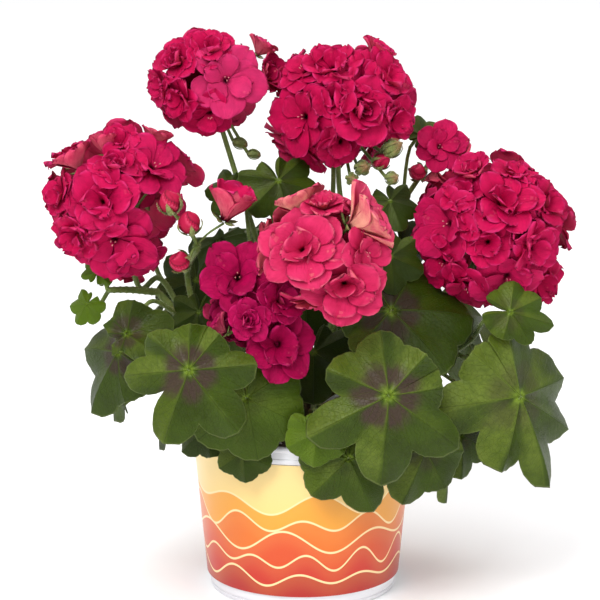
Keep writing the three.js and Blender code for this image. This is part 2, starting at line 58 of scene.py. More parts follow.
# Floor, and each lamp's place in metres, side in metres and power in watts
FLOOR_CORNERS = [(-6000, -6000, 0), (6000, -6000, 0), (6000, 9000, 0), (-6000, 9000, 0)]
LAMPS = {
    "key": ((-0.75, -1.7, 1.95), 1.2, 52),
    "fill": ((1.7, -1.2, 1.2), 1.8, 12),
    "top": ((0.1, 0.5, 2.2), 1.6, 22),
}
LAMP_AIM = (0, 0, 0.17)
SKY_STRENGTH = 0.7

# Pot and crown, as in the part
POT_HEIGHT = 101.6
FOOT_RADIUS = 54.2
FOOT_BAND_RADIUS = 55
FOOT_BAND_TOP = 8.6
WRAP_FOOT_RADIUS = 55.6
WRAP_RIM_RADIUS = 65.2
WRAP_THICKNESS = 0.4
RIM_BAND_BOTTOM = 91
RIM_LIP = 0.8
POT_WALL = 1.4
POT_FLOOR = 2
SEAT_GAP = 0.3
DRAIN_HOLES = 6
DRAIN_HOLE_RADIUS = 4
DRAIN_CIRCLE_RADIUS = 36
SOIL_EDGE_HEIGHT = 88
SOIL_MOUND = 3
CROWN_PROFILE = ((5, 66), (6, 88), (9, 104), (7, 113))
CROWN_TOP = 116
CROWN_TOP_RADIUS = 3.5

# Stems and stalks, as in the part
NODES_PER_STRETCH = 4
BRANCH_RADIUS = 2.8
SHOOT_RADIUS = 2.3
FLOWER_STALK_RADIUS = 1.7
PETIOLE_RADIUS = 1.3
PETIOLE_BEHIND = 11
PETIOLE_BELOW = 4.4
PETIOLE_ARCH = 4

# Hairs: how many stand on a square metre and how long they are
PETIOLE_HAIRS = (900000, 1.1)
SHOOT_HAIRS = (600000, 1.1)
BRANCH_HAIRS = (500000, 1.2)
FLOWER_STALK_HAIRS = (700000, 1.2)
STALKLET_HAIRS = (250000, 1.0)
SEPAL_HAIRS = (900000, 1.1)
HAIR_RADIUS = 0.07

# Branches, leaves, shoots and flowers, where the part has them.
# A leaf's stalk leaves a node of its stem and passes the points via. face is where the blade looks, in
# degrees to the right and up; turn is how far its tip swings to the right from straight down. A lobe is the
# angle of its vein from the tip and its reach, cuts are the reach between lobes, ears are the two lobes
# beside the notch, and a notch is its angle and reach: past 180 degrees the ears close over it. All reaches
# are in parts of size. bends curl single lobes, fold creases the blade along its middle and pleat between
# its veins. zone, dark and young are how strong the dark ring, the deep green and the fresh green are.
# The deep green that dark sets is painted shade, strongest on leaves that lie within the plant.
CLOSED_NOTCH = (180.5, 0.62)
BRANCHES = {
    "branch_front_left": [(-3, -4, 104), (-22, -28, 122), (-46, -40, 136), (-68, -38, 152)],
    "branch_front_right": [(3, -4, 104), (24, -30, 120), (50, -42, 132), (76, -36, 144), (98, -26, 156)],
    "branch_left": [(-4, 1, 107), (-34, -4, 130), (-64, -8, 156), (-84, -6, 178)],
    "branch_right": [(4, 1, 107), (36, 2, 130), (64, 0, 154), (86, -4, 170)],
    "branch_upper_left": [(-3, 4, 111), (-12, 6, 150), (-22, 6, 190)],
    "branch_upper_right": [(3, 5, 111), (16, 10, 150), (30, 8, 190)],
}
LEAVES = {
    "branch_front_left": {
        "leaf_front_left": dict(
            node=10, at=(-64, -92, 155.5), face=(-8, 22), turn=-17, size=45, zone=1.0, dark=0.1,
            lobes=[(-112, 0.72), (-68, 0.88), (0, 0.97), (58, 1), (114, 0.86)],
            cuts=[0.62, 0.42, 0.68, 0.6], bends=[0.0, -0.2, 0.05, 0.05, 0.1], notch=CLOSED_NOTCH),
        "leaf_front_centre": dict(
            node=6, at=(-32, -76, 134.5), face=(4, 12), turn=10, size=37, zone=0.15, young=0.2, pleat=0.05,
            lobes=[(-118, 0.8), (-59, 1), (0, 1), (52, 0.96), (112, 0.9)], cuts=[0.85, 0.86, 0.88, 0.85]),
        "leaf_rim_left": dict(
            node=4, at=(-54, -58, 112), face=(-30, 24), turn=-45, size=22, dark=0.8,
            lobes=[(-118, 0.5), (-59, 0.7), (0, 1.05), (59, 0.8), (118, 0.5)]),
        "leaf_rim_front": dict(
            node=3, via=[(-24, -44, 114), (-32, -61, 112)], at=(-34, -72, 101), face=(-10, 8), turn=4,
            size=18, cuts=[0.8, 0.86, 0.86, 0.8], dark=0.3),
    },
    "branch_left": {
        "leaf_far_left": dict(
            node=9, at=(-106, -38, 151), face=(-50, 20), turn=-24, size=41, zone=1.0, dark=0.4,
            lobes=[(-118, 0.6), (-58, 0.88), (0, 1.05), (48, 0.72), (105, 0.7)]),
        "leaf_left_folded": dict(
            node=10, via=[(-88, -28, 178)], at=(-100, -54, 166), face=(-14, 40), turn=115, size=28, fold=0.5,
            lobes=[(-118, 0.45), (-59, 0.8), (0, 1), (59, 0.7), (118, 0.45)], ears=(0.4, 0.4), zone=0.8,
            dark=0.2),
    },
    "branch_front_right": {
        "leaf_front_right": dict(
            node=8, at=(48, -98, 142.5), face=(4, 14), turn=-64, size=53, zone=1.0, dark=0.1,
            lobes=[(-110, 0.7), (-50, 0.72), (0, 0.97), (59, 0.97), (116, 0.95)],
            cuts=[0.58, 0.5, 0.62, 0.66], bends=[0.05, 0.1, 0.0, 0.0, 0.05], notch=CLOSED_NOTCH),
        "leaf_right": dict(
            node=14, at=(123.5, -64, 132), face=(34, 12), turn=20, size=58, fold=-0.25, zone=0.35,
            lobes=[(-110, 0.82), (-34, 0.76), (0, 1.04), (38, 0.86), (74, 0.78)],
            cuts=[0.48, 0.66, 0.72, 0.72], ears=(0.66, 0.7), pleat=0.15, notch=CLOSED_NOTCH),
        "leaf_right_upper": dict(
            node=16, at=(117.5, -58, 180), face=(10, 25), turn=72, size=27, zone=0.35, young=0.1,
            lobes=[(-90, 0.6), (-40, 0.8), (0, 1), (40, 0.78), (96, 0.7)], cuts=[0.55, 0.66, 0.7, 0.62]),
        "leaf_low_right": dict(node=10, at=(91, -46, 104), face=(30, 16), turn=-4, size=26, zone=0.3),
        "leaf_low_narrow": dict(
            node=11, at=(80, -64, 100), face=(75, 10), turn=6, size=31,
            lobes=[(-118, 0.3), (-59, 0.42), (0, 1.05), (59, 0.42), (118, 0.3)],
            cuts=[0.25, 0.36, 0.36, 0.25], ears=(0.3, 0.3)),
        "leaf_rim_middle": dict(
            node=2, via=[(6, -42, 120), (8, -62, 120)], at=(8, -84, 116), face=(0, 8), turn=-6, size=20,
            cuts=[0.85, 0.88, 0.88, 0.85], young=0.8),
        "leaf_over_pot": dict(
            node=4, via=[(32, -48, 114), (33, -64, 112)], at=(26, -79, 100), face=(4, 6), turn=24, size=36,
            lobes=[(-120, 0.8), (-68, 0.86), (0, 1), (50, 0.8), (110, 0.7)], cuts=[0.75, 0.66, 0.75, 0.7],
            dark=0.3, young=0.15),
        "leaf_rim_right": dict(
            node=6, via=[(46, -58, 122), (60, -70, 116)], at=(69, -83, 106), face=(15, 8), turn=-22, size=34,
            lobes=[(-115, 0.7), (-62, 0.7), (0, 1), (50, 0.8), (105, 0.7)], dark=0.2, zone=0.4),
    },
    "branch_right": {
        "leaf_centre_right": dict(
            node=8, at=(50, -55, 180), face=(8, 48), turn=40, size=50, zone=1.0, dark=0.4,
            lobes=[(-125, 0.6), (-84, 0.66), (0, 0.92), (52, 1), (110, 0.85)], cuts=[0.56, 0.5, 0.85, 0.8],
            bends=[0.0, -0.1, -0.15, -0.1, 0.0]),
    },
    "branch_upper_left": {
        "leaf_inner_front": dict(node=2, at=(6, -42, 152), face=(0, 30), turn=0, size=30, dark=1.0),
        "leaf_top_left": dict(
            node=7, via=[(-17, -6, 206)], at=(-14, -22, 248), face=(10, 34), turn=12, size=26,
            dark=0.4, zone=0.2),
        "leaf_top_far_left": dict(
            node=6, via=[(-30, -5, 206)], at=(-42, -4, 240), face=(-30, 40), turn=-20, size=18, dark=0.5),
    },
    "branch_upper_right": {
        "leaf_centre": dict(node=3, at=(50, -40, 208), face=(10, 25), turn=4, size=22, dark=0.6),
        "leaf_centre_grey": dict(
            node=4, via=[(36, 2, 176)], at=(57, 2, 204), face=(40, 16), turn=4, size=23, dark=0.8),
        "leaf_top_right": dict(
            node=6, via=[(36, 2, 202)], at=(50, -14, 234), face=(14, 42), turn=14, size=19, dark=0.5),
    },
}
SHOOTS = {
    "shoot_left": dict(on="branch_left", stem=[(-84, -6, 178), (-100, -16, 182), (-112, -24, 184)], leaves=[
        dict(node=6, at=(-124, -26, 176), face=(-30, 30), turn=-20, size=13, young=0.9),
        dict(node=8, at=(-118, -22, 194), face=(-20, 30), turn=170, size=12, young=0.9),
    ]),
    "shoot_inner_left": dict(on="branch_left", stem=[(-44, -5, 139), (-46, -2, 150), (-50, 0, 160)], leaves=[
        dict(node=8, at=(-62, 14, 180), face=(-12, 26), turn=-6, size=28, dark=0.9),
        dict(node=6, at=(-60, -21, 170), face=(-12, 25), turn=0, size=20, dark=0.9),
    ]),
    "shoot_side_left": dict(on="crown", stem=[(-4, 1, 100), (-34, 14, 118), (-62, 24, 134)], leaves=[
        dict(node=8, at=(-106, 24, 128), face=(-86, 18), turn=0, size=37, zone=0.6),
        dict(node=5, at=(-82, 12, 102), face=(-88, 12), turn=0, size=25, dark=0.3),
    ]),
    "shoot_side_right": dict(on="crown", stem=[(4, 1, 100), (36, 14, 116), (66, 24, 132)], leaves=[
        dict(node=7, at=(106, 2, 116), face=(82, 14), turn=0, size=36, zone=0.5),
        dict(node=8, at=(106, 32, 152), face=(95, 40), turn=0, size=27, dark=0.3),
        dict(node=6, at=(70, 50, 258), face=(20, 30), turn=120, size=14, dark=0.3),
    ]),
    "shoot_back_left": dict(on="crown", stem=[(-3, 4, 101), (-26, 34, 124), (-50, 58, 144)], leaves=[
        dict(node=7, at=(-94, 72, 134), face=(-130, 30), turn=10, size=42, zone=0.8),
        dict(node=6, at=(-42, 90, 148), face=(-165, 24), turn=0, size=40, zone=0.4),
        dict(node=4, at=(-58, 62, 106), face=(-140, 20), turn=0, size=30, dark=0.4),
    ]),
    "shoot_back_right": dict(on="crown", stem=[(3, 4, 101), (28, 34, 122), (54, 56, 142)], leaves=[
        dict(node=7, at=(98, 66, 130), face=(125, 30), turn=-8, size=43, zone=0.6),
        dict(node=6, at=(48, 92, 142), face=(164, 22), turn=0, size=42, zone=0.9),
        dict(node=4, at=(62, 60, 102), face=(140, 18), turn=0, size=28, dark=0.4),
    ]),
    "shoot_back_centre": dict(on="crown", stem=[(0, 5, 105), (2, 34, 138), (0, 54, 172)], leaves=[
        dict(node=8, at=(-18, 90, 186), face=(180, 36), turn=0, size=33, zone=0.5),
        dict(node=3, at=(4, 82, 106), face=(180, 16), turn=0, size=28, dark=0.3),
        dict(node=6, at=(-50, 46, 196), face=(-150, 44), turn=0, size=30, dark=0.2),
        dict(node=4, at=(2, 24, 172), face=(0, 20), turn=0, size=34, dark=1.0),
    ]),
}
# seen holds the florets that show from the front: right and up in parts of the head's radius, kind, size, and
# where a floret looks elsewhere than outwards, its facing to the right, up and to the front, and maybe its
# tone. bare is where a head has no florets: right, up and reach in parts of its radius. buds holds the buds:
# place, length, width and look.
FLOWERS = {
    "top_left": dict(
        on="branch_upper_left", node=8, at=(-55, 15, 298), axis=(-0.3, 0.1, 1), radius=35, color="cerise",
        seen=[(0.34, 0.0, 5, 0.95, (0.2, 0.15, 1), 3.0), (-0.45, -0.3, 4, 0.85), (0.05, 0.5, 1, 0.75),
              (-0.45, 0.3, 2, 0.8), (0.05, -0.6, 0, 0.8), (0.86, 0.52, 3, 0.66, (0.5, 0.8, 0.2), 3.0),
              (-0.75, -0.1, 4, 0.7), (0.95, 0.1, 3, 0.8, (0.8, 0.2, 0.6))],
        bare=[(-0.6, 0.9, 0.55), (0.9, 0.95, 0.3), (0.1, 1.0, 0.35)],
        buds=[(-36, 12, 262, 9, 6, "green"), (-28, 10, 256, 8, 5, "green")]),
    "top_right": dict(
        on="branch_upper_right", node=8, at=(21, 10, 283), axis=(0, 0, 1), radius=42, color="cerise",
        seen=[(0.30, -0.06, 2, 1.05), (-0.52, -0.14, 5, 1.1), (-0.1, 0.55, 4, 0.9), (0.66, 0.4, 1, 0.85),
              (0.75, -0.16, 4, 0.85), (-0.52, 0.5, 0, 0.85), (-0.5, -0.62, 5, 0.75), (0.5, 0.72, 3, 0.7),
              (0.0, -0.5, 4, 0.8), (-0.08, 0.12, 4, 0.85), (0.32, 0.38, 5, 0.8)],
        bare=[(0.35, -0.95, 0.35), (0.8, -0.75, 0.45), (-0.2, 1.0, 0.55), (0.5, 1.0, 0.35)],
        buds=[(51, -22, 267, 17, 9.5, "green"), (45, -20, 259, 14, 9, "opening"),
              (34, -24, 256, 13, 8, "green"), (28, -26, 250, 9, 6.5, "green"),
              (51, -24, 250, 9, 7, "green")]),
    "right": dict(
        on="branch_right", node=10, at=(107, -10, 214), axis=(0.5, 0, 1), radius=45, color="cerise",
        seen=[(-0.58, 0.12, 0, 1.1), (0.15, 0.38, 1, 1.15), (-0.05, -0.12, 4, 0.85), (-0.3, -0.72, 0, 1.0),
              (0.55, -0.2, 4, 1.0), (0.72, 0.35, 1, 0.9), (-0.2, 0.75, 3, 0.8), (0.3, 0.75, 4, 0.85),
              (0.2, -0.6, 5, 0.95), (0.66, -0.6, 4, 0.9, (0.6, -0.5, 0.7)),
              (-0.62, -0.4, 5, 0.85), (-0.36, 0.5, 4, 0.85), (0.42, 0.06, 1, 0.75), (-0.24, 0.14, 4, 0.7)],
        bare=[(-0.95, -0.85, 0.35), (-0.8, 0.75, 0.35), (0.85, 0.75, 0.3)]),
    "left": dict(
        on="branch_left", node=9, via=[(-84, 4, 184)], at=(-104, -4, 230), axis=(-0.2, 0, 1), radius=47,
        color="cerise",
        seen=[(-0.22, 0.02, 1, 1.1), (0.42, 0.45, 0, 1.15), (-0.02, 0.42, 2, 0.85), (-0.08, -0.5, 5, 1.2),
              (-0.52, -0.42, 4, 0.9), (-0.75, 0.08, 1, 0.85), (-0.52, 0.46, 3, 0.95, (-0.5, 0.7, -0.05), 1.0),
              (-0.18, 0.66, 6, 0.7, (-0.15, 0.95, -0.05), 1.0), (0.4, 0.76, 3, 0.7, (0.25, 0.95, -0.05), 1.0),
              (-0.02, 0.74, 4, 0.75, (-0.05, 0.6, 0.6)), (0.2, -0.72, 5, 0.8)],
        bare=[(0.85, -0.5, 0.72), (0.1, 1.1, 0.35), (-0.85, -0.8, 0.5), (-0.55, 1.0, 0.35),
              (0.95, 0.1, 0.4)]),
    "front": dict(
        on="branch_upper_left", node=4, at=(13, -84, 222), axis=(0.2, -0.8, 0.7), radius=36, color="coral",
        seen=[(-0.38, 0.03, 1, 1.25, (-0.2, 0.15, 1)), (0.26, -0.52, 1, 1.2, (0.15, -0.2, 1)),
              (0.5, 0.44, 3, 1.4, (0.75, 0.5, 0.25), 1.0), (-0.42, 0.66, 3, 0.85, (-0.4, 0.8, -0.1), 1.0),
              (-0.05, 0.7, 4, 0.75), (0.6, -0.05, 0, 0.8)],
        bare=[(0.95, -0.4, 0.3)]),
    "front_low": dict(
        on="branch_front_left", node=7, at=(-27, -50, 178), axis=(-0.1, -0.5, 1), radius=30, color="magenta",
        seen=[(-0.32, 0.68, 0, 1.12, (-0.2, 0.2, 1)), (0.46, -0.6, 4, 1.2, (0.15, -0.1, 1)),
              (-0.64, -0.34, 3, 0.68, (-0.5, 0.4, 0.1), 1.0), (0.5, 0.25, 1, 0.85), (-0.1, -0.15, 2, 0.7)],
        bare=[(-0.7, -0.9, 0.4), (0.9, 0.6, 0.5)]),
    "young_right": dict(
        on="branch_upper_right", node=7, at=(78, 27, 254), axis=(0.7, 0.3, 1), radius=14, color="cerise",
        seen=[(0.15, 0.15, 0, 0.75), (-0.1, -0.9, 3, 0.6), (0.95, 0.0, 3, 0.6)],
        buds=[(66, 8, 246, 12, 10, "red")]),
    "buds_left": dict(
        on="branch_left", node=8, via=[(-67, -5, 188)], at=(-60, -50, 218), axis=(0, -0.2, 1), radius=3,
        color="cerise", seen=[],
        buds=[(-75, -56, 244, 15, 13, "red"), (-64, -60, 233, 15, 13, "red"), (-70, -60, 210, 14, 12, "red"),
              (-41, -52, 242, 26, 22, "half_open")]),
    "back_left": dict(
        on="shoot_back_left", node=8, at=(-95, 70, 198), axis=(-0.4, 0.4, 1), radius=33, color="cerise",
        seen=[], bare=[(0.8, -0.1, 0.8)]),
    "back_right": dict(
        on="shoot_back_right", node=8, at=(100, 72, 196), axis=(0.4, 0.4, 1), radius=34, color="cerise",
        seen=[]),
    "back_centre": dict(
        on="shoot_back_centre", node=7, via=[(14, 58, 184)], at=(18, 92, 256), axis=(0, 0.4, 1), radius=36,
        color="cerise", seen=[]),
}


def in_scene(name, data):
    """A new object of the scene, at the origin."""
    made = bpy.data.objects.new(name, data)
    bpy.context.scene.collection.objects.link(made)
    return made


# Camera, before anything is made
camera = in_scene("camera", bpy.data.cameras.new("camera"))
camera.data.lens = CAMERA_LENS
camera.data.sensor_width = CAMERA_SENSOR
camera.data.clip_end = CAMERA_REACH * MM
look = Vector((0, math.cos(CAMERA_ELEVATION), -math.sin(CAMERA_ELEVATION)))
camera.location = Vector(CAMERA_AIM) * MM - look * CAMERA_DISTANCE * MM
camera.rotation_euler = look.to_track_quat("-Z", "Y").to_euler()
bpy.context.scene.camera = camera


# Node trees
class Wire:
    """A node's output; arithmetic on wires adds Math nodes."""

    def __init__(self, graph, socket):
        self.graph = graph
        self.socket = socket

    def __add__(self, other):
        return self.graph.math("ADD", self, other)

    def __sub__(self, other):
        return self.graph.math("SUBTRACT", self, other)

    def __rsub__(self, other):
        return self.graph.math("SUBTRACT", other, self)

    def __mul__(self, other):
        return self.graph.math("MULTIPLY", self, other)

    def __truediv__(self, other):
        return self.graph.math("DIVIDE", self, other)

    def __abs__(self):
        return self.graph.math("ABSOLUTE", self)

    __radd__ = __add__
    __rmul__ = __mul__

    def output(self, name):
        return Wire(self.graph, self.socket.node.outputs[name])


class Graph:
    """Adds nodes to a shader or geometry tree; each gives the wire of one of its outputs."""

    def __init__(self, tree):
        self.tree = tree

    def node(self, kind, values=(), out=0, **settings):
        """A node with its settings, and with values or wires to its sockets by name or number."""
        made = self.tree.nodes.new(kind)
        for name, value in settings.items():
            setattr(made, name, value)
        for name, value in values.items() if isinstance(values, dict) else enumerate(values):
            if isinstance(value, Wire):
                self.tree.links.new(value.socket, made.inputs[name])
            elif value is not None:
                made.inputs[name].default_value = value
        return Wire(self, made.outputs[out]) if len(made.outputs) else None

    def math(self, operation, *values):
        return self.node("ShaderNodeMath", values, operation=operation)

    def vector(self, operation, *values):
        return self.node("ShaderNodeVectorMath", values, operation=operation)

    def parts(self, vector):
        split = self.node("ShaderNodeSeparateXYZ", [vector])
        return split, split.output("Y"), split.output("Z")

    def join(self, x, y, z):
        return self.node("ShaderNodeCombineXYZ", [x, y, z])

    def step(self, value, low, high):
        """0 below low and 1 above high, with a soft step between."""
        values = {"Value": value, "From Min": low, "From Max": high}
        return self.node("ShaderNodeMapRange", values, interpolation_type="SMOOTHSTEP")

    def noise(self, vector, scale, detail=2, roughness=0.5):
        values = {"Vector": vector, "Scale": scale, "Detail": detail, "Roughness": roughness}
        return self.node("ShaderNodeTexNoise", values)

    def mix(self, factor, a, b):
        return self.node("ShaderNodeMix", {0: factor, 6: a, 7: b}, out=2, data_type="RGBA")

    def coats(self, colour, layers):
        """A colour with others laid over it, each as strong as its factor."""
        for factor, tint in layers:
            colour = self.mix(factor, colour, tint)
        return colour

    def attribute(self, name, output="Vector"):
        return self.node("ShaderNodeAttribute", attribute_name=name).output(output)

    def place(self):
        """Where a point of the surface lies, in metres."""
        return self.node("ShaderNodeTexCoord").output("Object")


def ink(red, green, blue):
    """A colour from its 0 to 255 values, as the shader reads it."""
    shares = [((c / 255 + 0.055) / 1.055) ** 2.4 if c > 10 else c / 3295 for c in (red, green, blue)]
    return (*shares, 1)


def material(name, paint, **constants):
    """A named material: paint gives what varies over the surface, with the height and relief in metres of its
    fine bumps, and constants set the rest."""
    made = bpy.data.materials.new(name)
    made.use_nodes = True
    made.node_tree.nodes.clear()
    graph = Graph(made.node_tree)
    links = paint(graph)
    if "height" in links:
        bump = {"Height": links.pop("height"), "Distance": links.pop("relief"), "Strength": 1.0}
        links["Normal"] = graph.node("ShaderNodeBump", bump)
    for socket, value in constants.items():
        links[socket.replace("_", " ")] = value
    surface = graph.node("ShaderNodeBsdfPrincipled", links)
    graph.node("ShaderNodeOutputMaterial", [surface])
    return made


PALE_PINK = ink(214, 76, 132)


def petal_material(name, deep, flesh, edge, back):
    """Petals: deep along the fine veins, painted shade deep in the throat, a thin lighter rim that is a
    painted highlight, and a paler back. tone runs from 0, a dark floret, to 1, a light one, and 3 is a pale
    pink one."""
    def paint(g):
        across, along, under = g.parts(g.attribute("petal_place"))
        tone = g.attribute("tone", "Fac")
        place = g.place()
        cloud = g.noise(place, 140, 3)
        fan = g.join(across * 13, along * 0.9, tone * 40)
        veins = g.step(abs(g.noise(fan, 3.2, 1) - 0.5), 0.0, 0.05)
        fading = g.step(along, 1.05, 0.35)
        # Painted shade: deep in the throat, fading to the flesh colour further out
        colour = g.mix(g.step(along + cloud * 0.3, 0.05, 0.45), deep, flesh)
        colour = g.mix(g.step(cloud, 0.35, 0.75) * 0.4, colour, deep)
        # rim: a thin lighter edge, a painted highlight
        rim = g.step(along * along + across * across * along * 0.8 + cloud * 0.15, 0.98, 1.5)
        colour = g.coats(colour, [
            (rim * 0.7, edge),
            (g.step(along, 0.4, 1.0) * 0.1, edge),
            ((1 - veins) * fading * 0.5, deep),
            (g.step(tone, 0.5, 1.0) * 0.25, edge),
            (g.step(tone, 0.5, 0.0) * 0.45, deep),
            (g.step(tone, 1.0, 3.0) * 0.18, PALE_PINK),
        ])
        pale = veins * 0.25 + g.step(cloud, 0.3, 0.7) * 0.35 + g.step(along, 0.9, 0.1) * 0.4
        colour = g.mix(under * 0.8 * g.step(tone, 0.02, 0.2), colour, g.mix(pale, flesh, back))
        ridges = veins * 0.35 + g.noise(place, 900, 2) * 0.4
        return {"Base Color": colour, "Roughness": 0.55 + cloud * 0.2, "height": ridges, "relief": 0.00022}

    return material(name, paint, Specular_IOR_Level=0.1)


def leaf_paint(g):
    """Leaves: painted light and shade from how each facet leans, pale veins, a fine net between them, a dark
    ring, painted shade in a deep green, a light rim and a pale underside.
    """
    along, across, under = g.parts(g.attribute("leaf_place"))
    off, out, aside = g.parts(g.attribute("leaf_vein"))
    share, lit, _ = g.parts(g.attribute("leaf_edge"))
    zone, dark, young = g.parts(g.attribute("leaf_tone"))
    place = g.place()
    flat = g.join(along, across, under)
    cloud = g.noise(place, 50, 4, 0.6)
    fine = g.noise(flat, 18, 3)
    main = g.step(off + out * 0.004 + fine * 0.004, 0.010, 0.003)
    branching = g.math("PINGPONG", (out - off * 1.35) * 6.5 + fine * 0.25, 0.5)
    side = g.step(branching, 0.05, 0.0) * g.step(off, 0.0, 0.04) * g.step(out, 1.0, 0.5)
    cell = g.node("ShaderNodeTexVoronoi", {"Vector": flat, "Scale": 24.0}, feature="DISTANCE_TO_EDGE")
    net = g.step(cell, 0.05, 0.0)
    # Painted light and shade: a lit green and a darker copy of it, mixed by how far each facet leans towards
    # LEAF_LIGHT
    painted_lit_green = g.mix(g.step(cloud, 0.3, 0.7), ink(70, 86, 12), ink(90, 105, 34))
    painted_shaded_green = g.mix(g.step(cloud, 0.3, 0.7), ink(42, 56, 0), ink(54, 73, 2))
    colour = g.mix(g.step(lit + cloud * 0.3 - 0.15, 0.2, 0.8), painted_shaded_green, painted_lit_green)
    colour = g.mix(g.step(fine, 0.35, 0.75) * 0.35, colour, ink(52, 68, 14))
    ring = g.step(out, 0.07, 0.16) * g.step(out + cloud * 0.3, 0.56, 0.4)
    ring = ring * g.step(aside + cloud * 0.2, 0.1, 0.35)
    # dark lays on a deep green that is painted shade, for leaves within the plant; it also dims their pale
    # underside
    colour = g.coats(colour, [
        (ring * zone * 0.9, ink(62, 44, 40)),
        (dark * 0.62, ink(24, 36, 2)),
        (young * 0.7, ink(88, 116, 10)),
        (net * 0.12, ink(38, 52, 6)),
        (side * 0.2 * (1 - dark), ink(104, 124, 44)),
        (main * g.step(out, 0.6, 0.05) * 0.4 + main * 0.08, ink(106, 126, 46)),
        (g.step(out, 0.09, 0.015) * 0.8, ink(124, 150, 44)),
        (g.step(share, 0.972, 0.99) * 0.4, ink(116, 130, 70)),
    ])
    beneath = g.mix(main * 0.6 + side * 0.3, ink(82, 102, 44), ink(126, 142, 80))
    colour = g.mix(under * (1 - dark * 0.6), colour, beneath)
    gloss = 0.34 + cloud * 0.14 + under * 0.15
    height = main * 0.5 - side * 0.25 - net * 0.15 + fine * 0.5 + g.noise(place, 1500, 1) * 0.1
    return {"Base Color": colour, "Roughness": gloss, "height": height, "relief": 0.0008}


def stem_paint(g):
    """Green stems and stalks: finely streaked, flushed with red and browner with age."""
    age = g.attribute("age", "Fac")
    place = g.place()
    cloud = g.noise(place, 60, 4)
    grain = g.noise(g.vector("MULTIPLY", place, (900, 900, 120)), 1, 3)
    colour = g.mix(g.step(cloud, 0.3, 0.7), ink(78, 98, 32), ink(112, 130, 58))
    colour = g.coats(colour, [
        (g.step(age + cloud * 0.4, 0.55, 1.1) * 0.8, ink(112, 92, 52)),
        (g.step(cloud, 0.62, 0.75) * 0.35, ink(150, 74, 58)),
        (g.step(grain, 0.55, 0.75) * 0.25, ink(168, 182, 116)),
    ])
    return {"Base Color": colour, "Roughness": 0.5 + grain * 0.2, "height": grain, "relief": 0.0004}


def bark_paint(g):
    """The crown's grained bark, with green showing through."""
    place = g.place()
    grain = g.noise(g.vector("MULTIPLY", place, (400, 400, 90)), 1, 6, 0.65)
    cloud = g.noise(place, 120, 3)
    colour = g.mix(g.step(grain, 0.3, 0.7), ink(58, 46, 30), ink(134, 116, 82))
    colour = g.mix(g.step(cloud, 0.5, 0.8) * 0.5, colour, ink(104, 112, 60))
    return {"Base Color": colour, "Roughness": 0.75 + grain * 0.2, "height": grain, "relief": 0.0012}


def soil_paint(g):
    """Dark soil in clumps, with lighter flecks."""
    place = g.place()
    clumps = g.noise(place, 260, 6, 0.7)
    fleck = g.node("ShaderNodeTexVoronoi", {"Vector": place, "Scale": 420.0})
    colour = g.mix(g.step(clumps, 0.3, 0.7), ink(26, 19, 13), ink(78, 58, 40))
    colour = g.mix(g.step(fleck, 0.3, 0.12) * 0.3, colour, ink(112, 88, 60))
    return {"Base Color": colour, "Roughness": 0.85 + clumps * 0.15, "height": clumps, "relief": 0.002}


def perlite_paint(g):
    """Chalky white lumps with small pits."""
    place = g.place()
    pits = g.noise(place, 900, 4)
    colour = g.mix(g.step(pits, 0.35, 0.6), ink(176, 168, 152), ink(236, 234, 226))
    return {"Base Color": colour, "Roughness": 0.8 + pits * 0.2, "height": pits, "relief": 0.0008}


def pot_paint(g):
    """White moulded plastic with faint flow lines, greyer and stained at the foot."""
    place = g.place()
    z = g.parts(place)[2]
    cloud = g.noise(place, 30, 4)
    flow = g.noise(g.vector("MULTIPLY", place, (700, 700, 40)), 1, 2)
    grit = g.noise(place, 1400, 2)
    colour = g.mix(g.step(cloud, 0.3, 0.7), ink(226, 227, 231), ink(236, 237, 240))
    foot = g.step(z, FOOT_BAND_TOP * MM, 0.0)
    colour = g.mix(foot * 0.5, colour, ink(204, 200, 204))
    stains = g.step(grit * 0.6 + cloud * 0.5, 0.68, 0.8) * g.step(z, 0.02, 0.0)
    colour = g.mix(stains * 0.35, colour, ink(150, 138, 120))
    gloss = 0.3 + flow * 0.1 + cloud * 0.12
    return {"Base Color": colour, "Roughness": gloss, "height": flow * 0.3 + grit * 0.2, "relief": 0.0002}


# Bands of waves on the wrap: middle height, swing, waves round the pot, phase and colour
WAVE_BANDS = [
    (66, 5.0, 7, 0.4, ink(232, 156, 38)), (54, 5.5, 9, 1.6, ink(220, 108, 12)),
    (43, 5.0, 7, 2.9, ink(208, 72, 16)), (31, 4.5, 11, 0.9, ink(192, 36, 16)),
    (20, 3.5, 9, 2.2, ink(168, 18, 16)),
]


def wrap_paint(g):
    """The printed wrap: cream above bands of waves that darken downwards, each edged with a pale line."""
    place = g.place()
    x, y, z = g.parts(place)
    angle = g.math("ARCTAN2", x, y * -1)
    height = z / MM
    dots = g.noise(place, 2600, 1)
    cloud = g.noise(place, 40, 3)
    shade = g.step(height, 95, 40)
    colour = g.mix(shade, ink(246, 218, 144), ink(244, 204, 118))
    for middle, swing, waves, phase, tint in WAVE_BANDS:
        crest = g.math("SINE", angle * waves + phase) * swing
        ripple = g.math("SINE", angle * (waves - 2) + phase * 3) * swing * 0.45
        depth = crest + ripple + middle - height
        piping = g.step(depth, -0.1, 0.15) * g.step(depth, 1.5, 1.2)
        colour = g.coats(colour, [
            (g.step(depth, -0.1, 0.15), tint),
            (g.step(depth, 14.0, 2.0) * 0.1 * g.step(depth, 0.0, 0.5), ink(250, 190, 90)),
            (piping * 0.85, ink(253, 232, 172)),
        ])
    colour = g.mix(dots * 0.05 + cloud * 0.05, colour, ink(180, 90, 50))
    gloss = 0.27 + cloud * 0.12 + dots * 0.04
    return {"Base Color": colour, "Roughness": gloss, "height": cloud * 0.4 + dots * 0.1, "relief": 0.0001}


